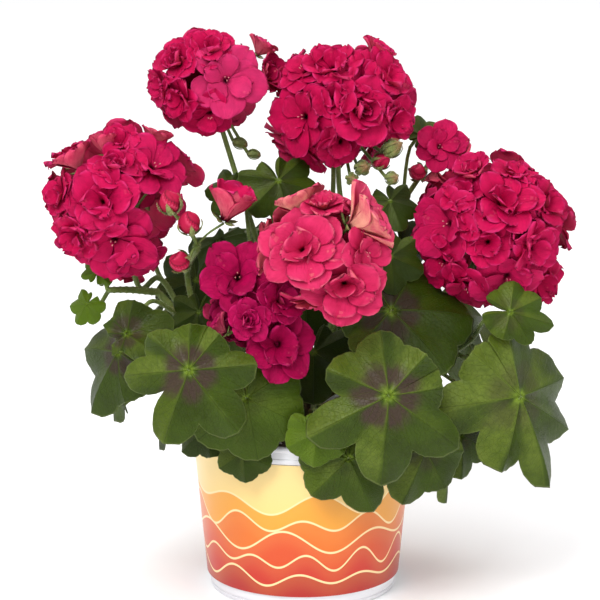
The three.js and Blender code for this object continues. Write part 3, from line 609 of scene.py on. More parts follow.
def bud_paint(g):
    """Furled petals, with painted shade where one goes under the next and a painted highlight along its edge.
    """
    around, along, furl = g.parts(g.attribute("petal_place"))
    place = g.place()
    cloud = g.noise(place, 300, 3)
    colour = g.mix(g.step(along + cloud * 0.3, 0.1, 0.9), ink(148, 14, 42), ink(166, 10, 58))
    # Painted shade in the tucks of the furl and a painted highlight along each petal's edge
    colour = g.coats(colour, [
        (g.step(furl, 0.3, 0.0) * 0.85, ink(64, 0, 18)),
        (g.step(furl + cloud * 0.2, 0.75, 1.05) * 0.6, ink(212, 74, 108)),
    ])
    ridges = g.noise(g.join(around * 60, along * 3, furl), 1, 2)
    return {"Base Color": colour, "Roughness": 0.55 + cloud * 0.2, "height": ridges + cloud, "relief": 0.0003}


def sepal_paint(g):
    """Streaked green sepals with reddish tips."""
    place = g.place()
    along = g.parts(g.attribute("petal_place"))[1]
    cloud = g.noise(place, 220, 3)
    streak = g.noise(g.vector("MULTIPLY", place, (1600, 1600, 300)), 1, 2)
    colour = g.mix(g.step(cloud, 0.3, 0.7), ink(92, 106, 44), ink(134, 144, 80))
    colour = g.mix(g.step(along + cloud * 0.3, 0.8, 1.15) * 0.6, colour, ink(146, 74, 60))
    return {"Base Color": colour, "Roughness": 0.55 + streak * 0.2, "height": streak, "relief": 0.0004}


def anther_paint(g):
    """Grainy anthers, pink to buff."""
    place = g.place()
    grain = g.noise(place, 1800, 2)
    colour = g.mix(g.step(grain, 0.35, 0.65), ink(206, 92, 116), ink(230, 160, 150))
    return {"Base Color": colour, "Roughness": 0.6 + grain * 0.2, "height": grain, "relief": 0.0003}


def hair_paint(g):
    """Pale hairs."""
    place = g.place()
    grain = g.noise(place, 500, 1)
    colour = g.mix(grain, ink(176, 190, 140), ink(214, 220, 184))
    return {"Base Color": colour, "Roughness": 0.5 + grain * 0.2}


PETALS = {
    "cerise": petal_material(
        "petal_cerise", ink(108, 0, 34), ink(192, 2, 72), ink(208, 46, 112), ink(232, 118, 130)),
    "coral": petal_material(
        "petal_coral", ink(164, 4, 52), ink(206, 38, 92), ink(222, 90, 122), ink(250, 190, 156)),
    "magenta": petal_material(
        "petal_magenta", ink(92, 0, 36), ink(174, 0, 74), ink(196, 30, 104), ink(236, 120, 134)),
}
LEAF = material("leaf_green", leaf_paint, Specular_IOR_Level=0.17)
STEM = material("stem_green", stem_paint)
BARK = material("crown_bark", bark_paint)
SOIL = material("soil_brown", soil_paint)
PERLITE = material("perlite_white", perlite_paint)
POT = material("pot_white", pot_paint)
WRAP = material("wrap_print", wrap_paint, Coat_Weight=0.2, Coat_Roughness=0.15)
BUD = material("bud_red", bud_paint, Specular_IOR_Level=0.2)
SEPAL = material("sepal_green", sepal_paint)
ANTHER = material("anther_pale", anther_paint)
HAIR = material("hair_pale", hair_paint)


# Meshes
def unit(v):
    v = np.asarray(v, float)
    return v / np.linalg.norm(v, axis=-1, keepdims=True)


def seeded(name):
    """Random numbers that are the same in every run, for a piece's name."""
    return random.Random(zlib.crc32(name.encode()))


class Clay:
    """Shapes with values at their points, gathered before they are made into one mesh."""

    def __init__(self):
        self.parts = []

    def add(self, points, faces, slot=0, **values):
        self.parts.append((np.asarray(points, float).reshape(-1, 3), faces, slot, values))

    def include(self, other, turn, shift):
        """Another's shapes, turned by the rows of a matrix and moved."""
        for points, faces, slot, values in other.parts:
            self.add(points @ turn + shift, faces, slot, **values)

    def mesh(self, name, materials):
        starts = np.cumsum([0] + [len(part[0]) for part in self.parts])
        faces = [tuple(int(i) + start for i in face)
                 for start, part in zip(starts, self.parts) for face in part[1]]
        made = bpy.data.meshes.new(name)
        made.from_pydata((np.concatenate([part[0] for part in self.parts]) * MM).tolist(), [], faces)
        made.polygons.foreach_set("material_index", [part[2] for part in self.parts for _ in part[1]])
        made.polygons.foreach_set("use_smooth", [True] * len(faces))
        for key in sorted({key for part in self.parts for key in part[3]}):
            whole = np.zeros((starts[-1], 3))
            for start, (points, _, _, values) in zip(starts, self.parts):
                if key in values:
                    whole[start:start + len(points)] = values[key]
            made.attributes.new(key, "FLOAT_VECTOR", "POINT").data.foreach_set("vector", whole.ravel())
        for one in materials:
            made.materials.append(one)
        made.update()
        return made


def shown(name, mesh, slot, *nodes):
    """A finished piece: it rides on the one body and stands for the named nodes of the part."""
    piece = in_scene(name, mesh)
    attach(piece, "root")
    if nodes:
        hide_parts(*nodes)
    return piece


def outward(points, faces):
    """The faces turned so that a closed mesh encloses a positive volume."""
    corner = np.asarray([[face[0], face[1], face[2]] for face in faces])
    rest = np.asarray([[face[0], face[2], face[3]] for face in faces if len(face) == 4]).reshape(-1, 3)
    corner = np.concatenate([corner, rest])
    a, b, c = points[corner[:, 0]], points[corner[:, 1]], points[corner[:, 2]]
    volume = np.einsum("ij,ij->i", a, np.cross(b, c)).sum()
    return faces if volume > 0 else [tuple(reversed(face)) for face in faces]


def sheet(top, under):
    """A closed thin sheet from two grids of points that meet at their border."""
    rows, columns = top.shape[:2]
    upper = np.arange(rows * columns).reshape(rows, columns)
    lower = upper.copy()
    lower[1:-1, 1:-1] = np.arange((rows - 2) * (columns - 2)).reshape(rows - 2, columns - 2) + rows * columns

    def quads(index):
        return np.stack([index[:-1, :-1], index[:-1, 1:], index[1:, 1:], index[1:, :-1]], -1).reshape(-1, 4)

    faces = [tuple(q) for q in quads(upper)[:, ::-1].tolist()] + [tuple(q) for q in quads(lower).tolist()]
    points = two_sides(top, under)
    return points, outward(points, faces)


def two_sides(top, under):
    """Values of a sheet's points, upper side first, from its two grids."""
    width = top.shape[-1]
    return np.concatenate([top.reshape(-1, width), under[1:-1, 1:-1].reshape(-1, width)])


def turned(profile, sides):
    """Points and faces of a body turned about the upright axis from a profile that starts and ends on it."""
    angles = 2 * math.pi * np.arange(sides) / sides
    inner = [p for p in profile if p[0] > 0]
    points = [(r * math.cos(a), r * math.sin(a), h) for r, h in inner for a in angles]
    faces = []
    for i in range(len(inner) - 1):
        for j in range(sides):
            k = (j + 1) % sides
            faces.append((i * sides + j, i * sides + k, (i + 1) * sides + k, (i + 1) * sides + j))
    first, last = len(points), len(points) + 1
    points += [(0, 0, profile[0][1]), (0, 0, profile[-1][1])]
    top = (len(inner) - 1) * sides
    for j in range(sides):
        k = (j + 1) % sides
        faces += [(first, k, j), (last, top + j, top + k)]
    points = np.asarray(points, float)
    return points, outward(points, faces)


# Curves: the same smooth route through the points as the part's stalks take
ROUTE_STEPS = 40


def route(points, count):
    """count + 1 points evenly along a smooth curve through the given ones."""
    p = np.asarray(points, float)
    p = np.concatenate([[2 * p[0] - p[1]], p, [2 * p[-1] - p[-2]]])
    fine = []
    for a, b, c, d in zip(p, p[1:], p[2:], p[3:]):
        gaps = [max(np.linalg.norm(q - o), 1e-4) ** 0.5 for o, q in ((a, b), (b, c), (c, d))]
        start = ((b - a) / gaps[0] - (c - a) / (gaps[0] + gaps[1]) + (c - b) / gaps[1]) * gaps[1]
        end = ((c - b) / gaps[1] - (d - b) / (gaps[1] + gaps[2]) + (d - c) / gaps[2]) * gaps[1]
        t = np.linspace(0, 1, ROUTE_STEPS, endpoint=False)[:, None]
        fine.append(b * (2 * t**3 - 3 * t**2 + 1) + c * (3 * t**2 - 2 * t**3)
                    + start * (t**3 - 2 * t**2 + t) + end * (t**3 - t**2))
    fine = np.concatenate(fine + [p[-2:-1]])
    length = np.concatenate([[0], np.cumsum(np.linalg.norm(np.diff(fine, axis=0), axis=1))])
    even = np.linspace(0, length[-1], count + 1)
    return np.stack([np.interp(even, length, fine[:, k]) for k in range(3)], -1)


def stem_nodes(points):
    return route(points, NODES_PER_STRETCH * (len(points) - 1))


# Geometry trees
def geometry_tree(name, inputs):
    """A tree with geometry in and out and named inputs; gives the tree, its graph and its input wires."""
    tree = bpy.data.node_groups.new(name, "GeometryNodeTree")
    tree.interface.new_socket("Geometry", in_out="INPUT", socket_type="NodeSocketGeometry")
    for label, kind in inputs.items():
        tree.interface.new_socket(label, in_out="INPUT", socket_type="NodeSocket" + kind)
    tree.interface.new_socket("Geometry", in_out="OUTPUT", socket_type="NodeSocketGeometry")
    graph = Graph(tree)
    entry = tree.nodes.new("NodeGroupInput")
    return tree, graph, {label: Wire(graph, entry.outputs[label]) for label in ("Geometry", *inputs)}


def settled(thing):
    """The plain mesh that an object's modifiers make; the object goes."""
    graph = bpy.context.evaluated_depsgraph_get()
    made = bpy.data.meshes.new_from_object(thing.evaluated_get(graph), depsgraph=graph)
    bpy.data.objects.remove(thing)
    return made


def grown(name, mesh, tree, values):
    """The plain mesh that a geometry tree makes from a mesh."""
    source = in_scene(name + "_source", mesh)
    modifier = source.modifiers.new("grow", "NODES")
    modifier.node_group = tree
    for item in tree.interface.items_tree:
        if item.in_out == "INPUT" and item.name in values:
            modifier[item.identifier] = values[item.name]
    made = settled(source)
    made.name = name
    return made


def tube_tree():
    """Round stalks along lines of points, each as thick as its points say."""
    inputs = {"Sides": "Int", "Material": "Material"}
    tree, g, given = geometry_tree("stalk_along_line", inputs)
    thickness = g.node("GeometryNodeInputNamedAttribute", {"Name": "thickness"}, data_type="FLOAT")
    line = g.node("GeometryNodeMeshToCurve", {"Mesh": given["Geometry"]})
    ring = g.node("GeometryNodeCurvePrimitiveCircle", {"Resolution": given["Sides"], "Radius": 1.0})
    values = {"Curve": line, "Profile Curve": ring, "Scale": thickness, "Fill Caps": True}
    tube = g.node("GeometryNodeCurveToMesh", values)
    smooth = g.node("GeometryNodeSetShadeSmooth", {"Geometry": tube})
    real = g.node("GeometryNodeRealizeInstances", [smooth])
    done = g.node("GeometryNodeSetMaterial", {"Geometry": real, "Material": given["Material"]})
    g.node("NodeGroupOutput", [done])
    return tree


TUBES = tube_tree()


def tubes(name, strands, sides, finish):
    """One mesh of round stalks; a strand is its points, its radius at each and its age at each."""
    points, thickness, age = (np.concatenate([np.asarray(strand[part], float) for strand in strands])
                              for part in range(3))
    edges, start = [], 0
    for strand in strands:
        count = len(strand[0])
        edges += [(start + i, start + i + 1) for i in range(count - 1)]
        start += count
    mesh = bpy.data.meshes.new(name + "_lines")
    mesh.from_pydata((points * MM).tolist(), edges, [])
    for key, values in (("thickness", thickness * MM), ("age", age)):
        mesh.attributes.new(key, "FLOAT", "POINT").data.foreach_set("value", values)
    return grown(name, mesh, TUBES, {"Sides": sides, "Material": finish})


def join(name, *meshes):
    """One mesh of several, with their materials."""
    objects = [in_scene(name, mesh) for mesh in meshes]
    first = objects[0]
    with bpy.context.temp_override(active_object=first, object=first, selected_objects=objects,
                                   selected_editable_objects=objects):
        bpy.ops.object.join()
    mesh = first.data
    bpy.data.objects.remove(first)
    return mesh


# Pot
POT_SIDES = 144
PEG_SIDES = 28
PEG_ENDS = (-4, 6)
WRAP_SIDES = 240
WRAP_ROWS = 24
WRAP_LAP = 0.03
POT_SHARP_ANGLE = math.radians(40)
WRAP_SHARP_ANGLE = math.radians(50)


def wrap_radius(height):
    return WRAP_FOOT_RADIUS + (WRAP_RIM_RADIUS - WRAP_FOOT_RADIUS) * height / POT_HEIGHT


def side_radius(height):
    return wrap_radius(height) - WRAP_THICKNESS - SEAT_GAP


def inner_radius(height):
    return side_radius(height) - POT_WALL


def pot_profile():
    """Foot with a rolled edge and a groove, plain side, rim band with two beads and a round lip."""
    foot, band, rim, high = FOOT_RADIUS, FOOT_BAND_TOP, RIM_BAND_BOTTOM, POT_HEIGHT
    lip, floor = wrap_radius(high) + RIM_LIP, inner_radius(POT_FLOOR)
    outside = [
        (0, 0.9), (foot - 9, 0.9), (foot - 8.2, 0), (foot - 1.2, 0), (foot - 0.4, 0.3), (foot, 1.2),
        (foot + 0.1, 2.4), (foot - 0.5, 2.7), (foot - 0.5, 3.3), (foot + 0.2, 3.6),
        (FOOT_BAND_RADIUS, band - 0.9), (FOOT_BAND_RADIUS - 0.1, band - 0.3), (side_radius(band) - 0.1, band),
        (side_radius(rim), rim), (wrap_radius(rim), rim + 0.1), (wrap_radius(rim) + 0.35, rim + 0.5),
        (wrap_radius(rim + 3) + 0.3, rim + 3), (wrap_radius(rim + 3), rim + 3.4), (lip - 1.1, high - 3.4),
        (lip - 0.5, high - 3), (lip, high - 2.2), (lip + 0.1, high - 1.2), (lip - 0.2, high - 0.4),
        (lip - 0.8, high),
    ]
    inside = [
        (inner_radius(high) + 0.6, high), (inner_radius(high), high - 0.5), (floor, POT_FLOOR + 1.4),
        (floor - 1.4, POT_FLOOR), (0, POT_FLOOR),
    ]
    return outside + inside


def drain_cutter():
    """Round pegs where the drain holes are."""
    pegs = Clay()
    for i in range(DRAIN_HOLES):
        angle = 2 * math.pi * i / DRAIN_HOLES
        place = (DRAIN_CIRCLE_RADIUS * math.cos(angle), DRAIN_CIRCLE_RADIUS * math.sin(angle), 0)
        below, above = PEG_ENDS
        profile = [(0, below), (DRAIN_HOLE_RADIUS, below), (DRAIN_HOLE_RADIUS, above), (0, above)]
        points, faces = turned(profile, PEG_SIDES)
        pegs.add(points + np.array(place), faces)
    return in_scene("drain_cutter", pegs.mesh("drain_cutter", [POT]))


def pot_piece():
    """The pot, with the drain holes cut through its floor."""
    clay = Clay()
    clay.add(*turned(pot_profile(), POT_SIDES))
    pot = in_scene("pot_shell", clay.mesh("pot_shell", [POT]))
    cutter = drain_cutter()
    cut = pot.modifiers.new("holes", "BOOLEAN")
    cut.operation = "DIFFERENCE"
    cut.object = cutter
    cut.solver = "EXACT"
    mesh = settled(pot)
    bpy.data.objects.remove(cutter)
    mesh.set_sharp_from_angle(angle=POT_SHARP_ANGLE)
    return shown("pot_shell", mesh, "pot_plastic", "flower_pot")


def wrap_piece():
    """The printed film, with its two ends overlapping in a flat seam at the back."""
    turn = np.linspace(-1, 1, WRAP_SIDES + 1)
    angles = turn * (math.pi + WRAP_LAP) + math.pi / 2 + math.pi
    heights = np.linspace(FOOT_BAND_TOP + SEAT_GAP, RIM_BAND_BOTTOM - SEAT_GAP, WRAP_ROWS + 1)
    lap = np.clip((np.abs(turn) - (1 - WRAP_LAP)) / WRAP_LAP, 0, 1) ** 0.5
    lap = np.where(np.arange(WRAP_SIDES + 1) > WRAP_SIDES / 2, lap, 0) * (WRAP_THICKNESS + 0.02)
    radius = wrap_radius(heights)[:, None] + lap[None, :]
    ways = np.stack([np.cos(angles), np.sin(angles)], -1)[None, :, :]
    level = np.broadcast_to(heights[:, None, None], radius.shape + (1,))
    outer = np.concatenate([ways * radius[..., None], level], -1)
    inner = np.concatenate([ways * (radius[..., None] - WRAP_THICKNESS * 0.9), level], -1)
    clay = Clay()
    clay.add(*sheet(outer, inner))
    mesh = clay.mesh("wrap_film", [WRAP])
    mesh.set_sharp_from_angle(angle=WRAP_SHARP_ANGLE)
    return shown("wrap_film", mesh, "printed_film", "printed_wrap")


# Soil. Each kind of crumb on it: how flat, how many on a square metre, smallest and largest size, finish
SOIL_RINGS = 34
SOIL_SIDES = 120
CRUMBS = {
    "soil_crumbs": (0.8, 90000.0, 0.8, 2.4, SOIL),
    "soil_fibres": (0.35, 40000.0, 1.2, 3.6, SOIL),
    "soil_perlite": (0.9, 9000.0, 1.2, 3.0, PERLITE),
}
LEVEL_ENOUGH = 0.6


def soil_height(x, y):
    """Height of the soil's surface: a low mound round the crown, uneven all over."""
    across = math.hypot(x, y) / inner_radius(SOIL_EDGE_HEIGHT)
    lumps = noise.fractal(Vector((x * 0.12, y * 0.12, 3.1)), 0.7, 2.1, 4)
    return SOIL_EDGE_HEIGHT - 0.6 + SOIL_MOUND * (1 - across**2) + 0.9 * lumps


def soil_piece():
    """The bed of soil: a fine uneven surface on a plain tapered body that fills the pot."""
    reach = inner_radius(SOIL_EDGE_HEIGHT) - SEAT_GAP
    low = POT_FLOOR + SEAT_GAP
    angles = [2 * math.pi * j / SOIL_SIDES for j in range(SOIL_SIDES)]
    points = [(0, 0, soil_height(0, 0))]
    for i in range(1, SOIL_RINGS + 1):
        r = reach * i / SOIL_RINGS
        for a in angles:
            x, y = r * math.cos(a), r * math.sin(a)
            points.append((x, y, soil_height(x, y)))
    for r, height in ((inner_radius(low) - SEAT_GAP - 0.6, low + 1.6), (inner_radius(low) - 2.2, low)):
        points += [(r * math.cos(a), r * math.sin(a), height) for a in angles]
    points.append((0, 0, low))
    following = [(j, (j + 1) % SOIL_SIDES) for j in range(SOIL_SIDES)]
    faces = [(0, 1 + j, 1 + k) for j, k in following]
    for i in range(SOIL_RINGS + 1):
        a, b = 1 + i * SOIL_SIDES, 1 + (i + 1) * SOIL_SIDES
        faces += [(a + j, b + j, b + k, a + k) for j, k in following]
    end = len(points) - 1
    last = end - SOIL_SIDES
    faces += [(end, last + k, last + j) for j, k in following]
    points = np.asarray(points, float)
    clay = Clay()
    clay.add(points, outward(points, faces))
    return shown("soil_bed", clay.mesh("soil_bed", [SOIL]), "potting_soil", "potting_soil")


def lump(seed, flat):
    """A rough lump of twenty facets about 1 mm across, as a mesh in metres."""
    mesh = bpy.data.meshes.new("lump_%d" % seed)
    shape = bmesh.new()
    bmesh.ops.create_icosphere(shape, subdivisions=1, radius=0.5)
    for v in shape.verts:
        v.co *= 1 + 0.45 * noise.noise(v.co * 2.3 + Vector((seed * 7.1, 0, 0)))
        v.co.z *= flat
        v.co *= MM
    shape.to_mesh(mesh)
    shape.free()
    return mesh


def crumb_tree():
    """Lumps strewn on the upper side of a surface."""
    inputs = {"Lump": "Object", "Density": "Float", "Small": "Float", "Large": "Float", "Seed": "Int",
              "Material": "Material"}
    tree, g, given = geometry_tree("crumbs_on_soil", inputs)
    seed = given["Seed"]
    up = g.parts(g.node("GeometryNodeInputNormal"))[2]
    values = {0: up, 1: LEVEL_ENOUGH}
    facing = g.node("FunctionNodeCompare", values, data_type="FLOAT", operation="GREATER_THAN")
    values = {"Mesh": given["Geometry"], "Selection": facing, "Density": given["Density"], "Seed": seed}
    spots = g.node("GeometryNodeDistributePointsOnFaces", values)
    shape = g.node("GeometryNodeObjectInfo", {"Object": given["Lump"]}).output("Geometry")
    values = {0: (0, 0, 0), 1: (FULL_TURN, FULL_TURN, FULL_TURN), "Seed": seed}
    spin = g.node("FunctionNodeRandomValue", values, data_type="FLOAT_VECTOR")
    values = {2: given["Small"], 3: given["Large"], "Seed": seed}
    size = g.node("FunctionNodeRandomValue", values, out=1, data_type="FLOAT")
    values = {"Points": spots, "Instance": shape, "Rotation": spin, "Scale": size}
    strewn = g.node("GeometryNodeInstanceOnPoints", values)
    real = g.node("GeometryNodeRealizeInstances", [strewn])
    done = g.node("GeometryNodeSetMaterial", {"Geometry": real, "Material": given["Material"]})
    g.node("NodeGroupOutput", [done])
    return tree


def soil_crumbs(bed):
    tree = crumb_tree()
    for number, (name, (flat, density, small, large, finish)) in enumerate(CRUMBS.items()):
        source = bpy.data.objects.new(name + "_lump", lump(number + 1, flat))
        values = {"Lump": source, "Density": density, "Small": small, "Large": large, "Seed": number + 3,
                  "Material": finish}
        mesh = grown(name, bed.data.copy(), tree, values)
        bpy.data.objects.remove(source)
        shown(name, mesh, "potting_soil")


# Stems and stalks: how many flat sides each has
CROWN_ROWS = 26
CROWN_SIDES = 40
BRANCH_SIDES = 16
FLOWER_STALK_SIDES = 12
PETIOLE_SIDES = 10
STALKLET_SIDES = 6
FLORET_STALKLET_RADIUS = 0.62
BUD_STALKLET_RADIUS = 0.8


def crown_piece():
    """The woody foot, knobbly where branches leave it."""
    radii = [p[0] for p in CROWN_PROFILE] + [CROWN_TOP_RADIUS]
    heights = [p[1] for p in CROWN_PROFILE] + [CROWN_TOP]
    levels = np.linspace(heights[0], CROWN_TOP - 0.6, CROWN_ROWS)
    side = [(float(np.interp(h, heights, radii)), h) for h in levels]
    points, faces = turned([(0, heights[0]), *side, (0, CROWN_TOP)], CROWN_SIDES)
    for point in points:
        knob = noise.fractal(Vector(point * 0.16), 0.8, 2.0, 4)
        point[:2] *= 1 + 0.13 * knob
    clay = Clay()
    clay.add(points, faces)
    return shown("crown_wood", clay.mesh("crown_wood", [BARK]), "woody_stem", "crown")


def stem_strand(points, radius, oldness):
    """A green stem, swollen at its nodes and a little thinner towards its tip."""
    line = route(points, NODES_PER_STRETCH * (len(points) - 1) * 4)
    share = np.linspace(0, 1, len(line))
    swell = np.cos(np.arange(len(line)) * math.pi / 4) ** 8
    radii = radius * (1.02 - 0.22 * share) * (0.92 + 0.16 * swell)
    radii[-1] *= 0.6
    return line, radii, oldness * (1 - share)


STEM_POINTS = {**BRANCHES, **{name: shoot["stem"] for name, shoot in SHOOTS.items()}}
STEM_NODES = {name: stem_nodes(points) for name, points in STEM_POINTS.items()}


def hair_tree():
    """Short soft hairs that stand on a stalk or a bud."""
    inputs = {"Density": "Float", "Length": "Float", "Seed": "Int", "Material": "Material"}
    tree, g, given = geometry_tree("hairs_on_surface", inputs)
    values = {"Mesh": given["Geometry"], "Density": given["Density"], "Seed": given["Seed"]}
    spots = g.node("GeometryNodeDistributePointsOnFaces", values)
    values = {0: (-0.5, -0.5, -0.5), 1: (0.5, 0.5, 0.5), "Seed": 5}
    lean = g.node("FunctionNodeRandomValue", values, data_type="FLOAT_VECTOR")
    way = g.vector("ADD", spots.output("Normal"), lean)
    turn = g.node("FunctionNodeAlignRotationToVector", {"Vector": way}, axis="Z")
    values = {"Vertices": 3, "Side Segments": 1, "Radius Top": 0.0, "Radius Bottom": HAIR_RADIUS * MM,
              "Depth": given["Length"]}
    hair = g.node("GeometryNodeMeshCone", values)
    size = g.node("FunctionNodeRandomValue", {2: 0.5, 3: 1.0, "Seed": 9}, out=1, data_type="FLOAT")
    values = {"Points": spots, "Instance": hair, "Rotation": turn, "Scale": size}
    strewn = g.node("GeometryNodeInstanceOnPoints", values)
    real = g.node("GeometryNodeRealizeInstances", [strewn])
    painted = g.node("GeometryNodeSetMaterial", {"Geometry": real, "Material": given["Material"]})
    both = g.node("GeometryNodeJoinGeometry")
    g.tree.links.new(given["Geometry"].socket, both.socket.node.inputs[0])
    g.tree.links.new(painted.socket, both.socket.node.inputs[0])
    g.node("NodeGroupOutput", [both])
    return tree


HAIRS = hair_tree()


def hairy(name, mesh, density, length):
    """A mesh of stalks or sepals with hairs on it."""
    values = {"Density": float(density), "Length": length * MM, "Seed": 4, "Material": HAIR}
    return grown(name, mesh, HAIRS, values)


# Leaves, in outline as the part's; a leaf that doesn't say otherwise has these lobes, cuts, ears and notch.
# LEAF_LIGHT is the way that a facet leans where the blade is painted most lit; facets that lean away are
# painted in shade.
LOBES = [(-118, 0.9), (-59, 0.97), (0, 1), (59, 0.97), (118, 0.9)]
CUTS = [0.72, 0.76, 0.76, 0.72]
EARS = (0.6, 0.6)
EAR_ANGLE = 160
EAR_CUT = 0.57
NOTCH = (177, 0.16)
LOBE_ROUNDING = 1.9
PLEAT_PART = 0.17
DROOP_PART = 0.14
BLADE_THICKNESS = 0.55
TOOTH_PART = 0.018
LEAF_LIGHT = (-0.5, -0.42, 0.76)
PLAIN_ZONE = 0.15
RIM_WAVES = 13
RIM_WAVE_PART = 0.016
RIM_CURL_START = 0.72
RIM_CURL_PART = 0.16
LEAF_CELLS = (11, 8)
HIDDEN_LEAF_CELLS = (8, 6)


def leaf_directions(face, turn):
    """The way that a blade faces, the way to its tip, and the way across it."""
    azimuth, elevation = (math.radians(a) for a in face)
    turn = math.radians(turn)
    ahead = np.array([math.sin(azimuth), -math.cos(azimuth), 0])
    normal = ahead * math.cos(elevation) + UP * math.sin(elevation)
    down = ahead * math.sin(elevation) - UP * math.cos(elevation)
    across = np.cross(normal, down)
    tip = down * math.cos(turn) + across * math.sin(turn)
    return normal, tip, np.cross(normal, tip)


def leaf_outline(leaf, steps):
    """Angles round the leaf, reach of its edge there, how far each lies from its lobe's vein towards the cut,
    the angle from that vein, and the lobe's bend."""
    lobes, cuts, ears = leaf.get("lobes", LOBES), leaf.get("cuts", CUTS), leaf.get("ears", EARS)
    bends = leaf.get("bends", [0.0] * len(lobes))
    notch_angle, notch_reach = leaf.get("notch", NOTCH)
    marks = [(-notch_angle, notch_reach, 0), (-EAR_ANGLE, ears[0], 0)]
    marks.append(((lobes[0][0] - EAR_ANGLE) / 2, EAR_CUT, 0))
    following = [lobe[0] for lobe in lobes[1:]] + [EAR_ANGLE]
    for (angle, reach), cut, bend, nearby in zip(lobes, cuts + [EAR_CUT], bends, following):
        marks += [(angle, reach, bend), ((angle + nearby) / 2, cut, 0)]
    marks += [(EAR_ANGLE, ears[1], 0), (notch_angle, notch_reach, 0)]
    rows = []
    for i in range(len(marks) - 1):
        lobe, cut = (marks[i], marks[i + 1]) if i % 2 else (marks[i + 1], marks[i])
        last = i == len(marks) - 2
        for part in np.linspace(0, 1, steps + 1)[:None if last else -1]:
            aside = part if i % 2 else 1 - part
            angle = marks[i][0] + (marks[i + 1][0] - marks[i][0]) * part
            edge = cut[1] + (lobe[1] - cut[1]) * (1 - aside**LOBE_ROUNDING)
            edge *= 1 - TOOTH_PART * math.sin(2.5 * math.pi * aside) ** 2
            rows.append((math.radians(angle), edge, aside, math.radians(abs(angle - lobe[0])), lobe[2]))
    return np.array(rows).T


def leaf_blade(clay, leaf, seed, rings, steps):
    """The blade: veins along its ridges, cuts in its valleys, the rim drooping and softly waved, and painted
    light and shade from how each facet leans. rings run from the middle to the rim, steps from a vein to the
    next cut."""
    rng = seeded(seed)
    normal, tip, side = leaf_directions(leaf["face"], leaf["turn"])
    size = leaf["size"]
    angle, outline, aside, off, bend = leaf_outline(leaf, steps)
    share = np.concatenate([np.linspace(0.006, 0.975, rings) ** 0.9, [1]])[:, None]
    reach = share * outline
    phase, swing = rng.random() * FULL_TURN, 0.02 + 0.03 * rng.random()
    pleat = leaf.get("pleat", PLEAT_PART)
    lift = leaf.get("fold", 0) * reach * np.abs(np.sin(angle)) - pleat * reach * np.sin(aside * math.pi / 2)
    lift += (bend * (1 - aside) - DROOP_PART) * reach**2 + swing * reach**2 * np.sin(2 * angle + phase)
    lift += RIM_WAVE_PART * share**4 * np.sin(RIM_WAVES * angle + phase * 2)
    lift -= RIM_CURL_PART * np.clip(share - RIM_CURL_START, 0, 1) ** 1.5
    at = np.array(leaf["at"], float)
    grid = at + size * ((reach * np.cos(angle))[..., None] * tip + (reach * np.sin(angle))[..., None] * side
                        + lift[..., None] * normal)
    # Painted light and shade: lit grows where a facet leans towards LEAF_LIGHT more than the blade as a whole
    # does
    facet = unit(np.cross(np.gradient(grid, axis=0), np.gradient(grid, axis=1)) + 1e-9)
    facet *= np.sign((facet * normal).sum(-1))[..., None]
    lit = np.clip(0.5 + 1.5 * ((facet - normal) @ np.array(LEAF_LIGHT)), 0, 1)
    half = BLADE_THICKNESS / 2 * (1 - 0.6 * share**6)[..., None] * normal
    flat = np.stack([reach * np.cos(angle), reach * np.sin(angle), np.zeros_like(reach)], -1)
    vein = np.stack([reach * np.sin(off), reach * np.cos(off), np.broadcast_to(aside, reach.shape)], -1)
    # Each point's reach towards the rim, and its painted light
    edge = np.stack([np.broadcast_to(share, reach.shape), lit, np.zeros_like(reach)], -1)
    points, faces = sheet(grid + half, grid - half)
    tone = [leaf.get("zone", PLAIN_ZONE), leaf.get("dark", 0.0), leaf.get("young", 0.0)]
    clay.add(points, faces, leaf_place=two_sides(flat, flat + [0, 0, 1]), leaf_vein=two_sides(vein, vein),
             leaf_edge=two_sides(edge, edge), leaf_tone=tone)


def petiole(leaf, start):
    """A leaf's stalk, from its stem's node over an arch or through given points to the blade's middle."""
    normal, tip, _ = leaf_directions(leaf["face"], leaf["turn"])
    at = np.array(leaf["at"], float)
    behind = at - PETIOLE_BEHIND * normal - PETIOLE_BELOW * tip
    arch = (start + behind) / 2 + UP * PETIOLE_ARCH
    end = at - 0.2 * normal + 0.02 * leaf["size"] * tip
    points = [start, *(leaf.get("via") or [arch]), behind, end]
    line = route(points, 22)
    share = np.linspace(0, 1, len(line))
    radii = PETIOLE_RADIUS * (1.1 - 0.3 * share)
    radii[-2:] *= [1.05, 1.35]
    return line, radii, np.full(len(line), 0.15)


def leaf_pieces():
    for stem, leaves in LEAVES.items():
        for name, leaf in leaves.items():
            clay = Clay()
            leaf_blade(clay, leaf, name, *LEAF_CELLS)
            strand = petiole(leaf, STEM_NODES[stem][leaf["node"]])
            stalk = tubes(name + "_stalk", [strand], PETIOLE_SIDES, STEM)
            stalk = hairy(name + "_stalk", stalk, *PETIOLE_HAIRS)
            mesh = join(name + "_blade", clay.mesh(name + "_blade", [LEAF]), stalk)
            shown(name + "_blade", mesh, "leaf", name)


def shoot_pieces():
    for name, shoot in SHOOTS.items():
        clay = Clay()
        strands = [stem_strand(shoot["stem"], SHOOT_RADIUS, 0.3)]
        for number, leaf in enumerate(shoot["leaves"]):
            leaf_blade(clay, leaf, name + str(number), *HIDDEN_LEAF_CELLS)
            strands.append(petiole(leaf, STEM_NODES[name][leaf["node"]]))
        stalks = tubes(name + "_stalk", strands, PETIOLE_SIDES, STEM)
        stalks = hairy(name + "_stalk", stalks, *SHOOT_HAIRS)
        mesh = join(name + "_leaves", clay.mesh(name + "_leaves", [LEAF]), stalks)
        shown(name + "_leaves", mesh, "leaf", name)


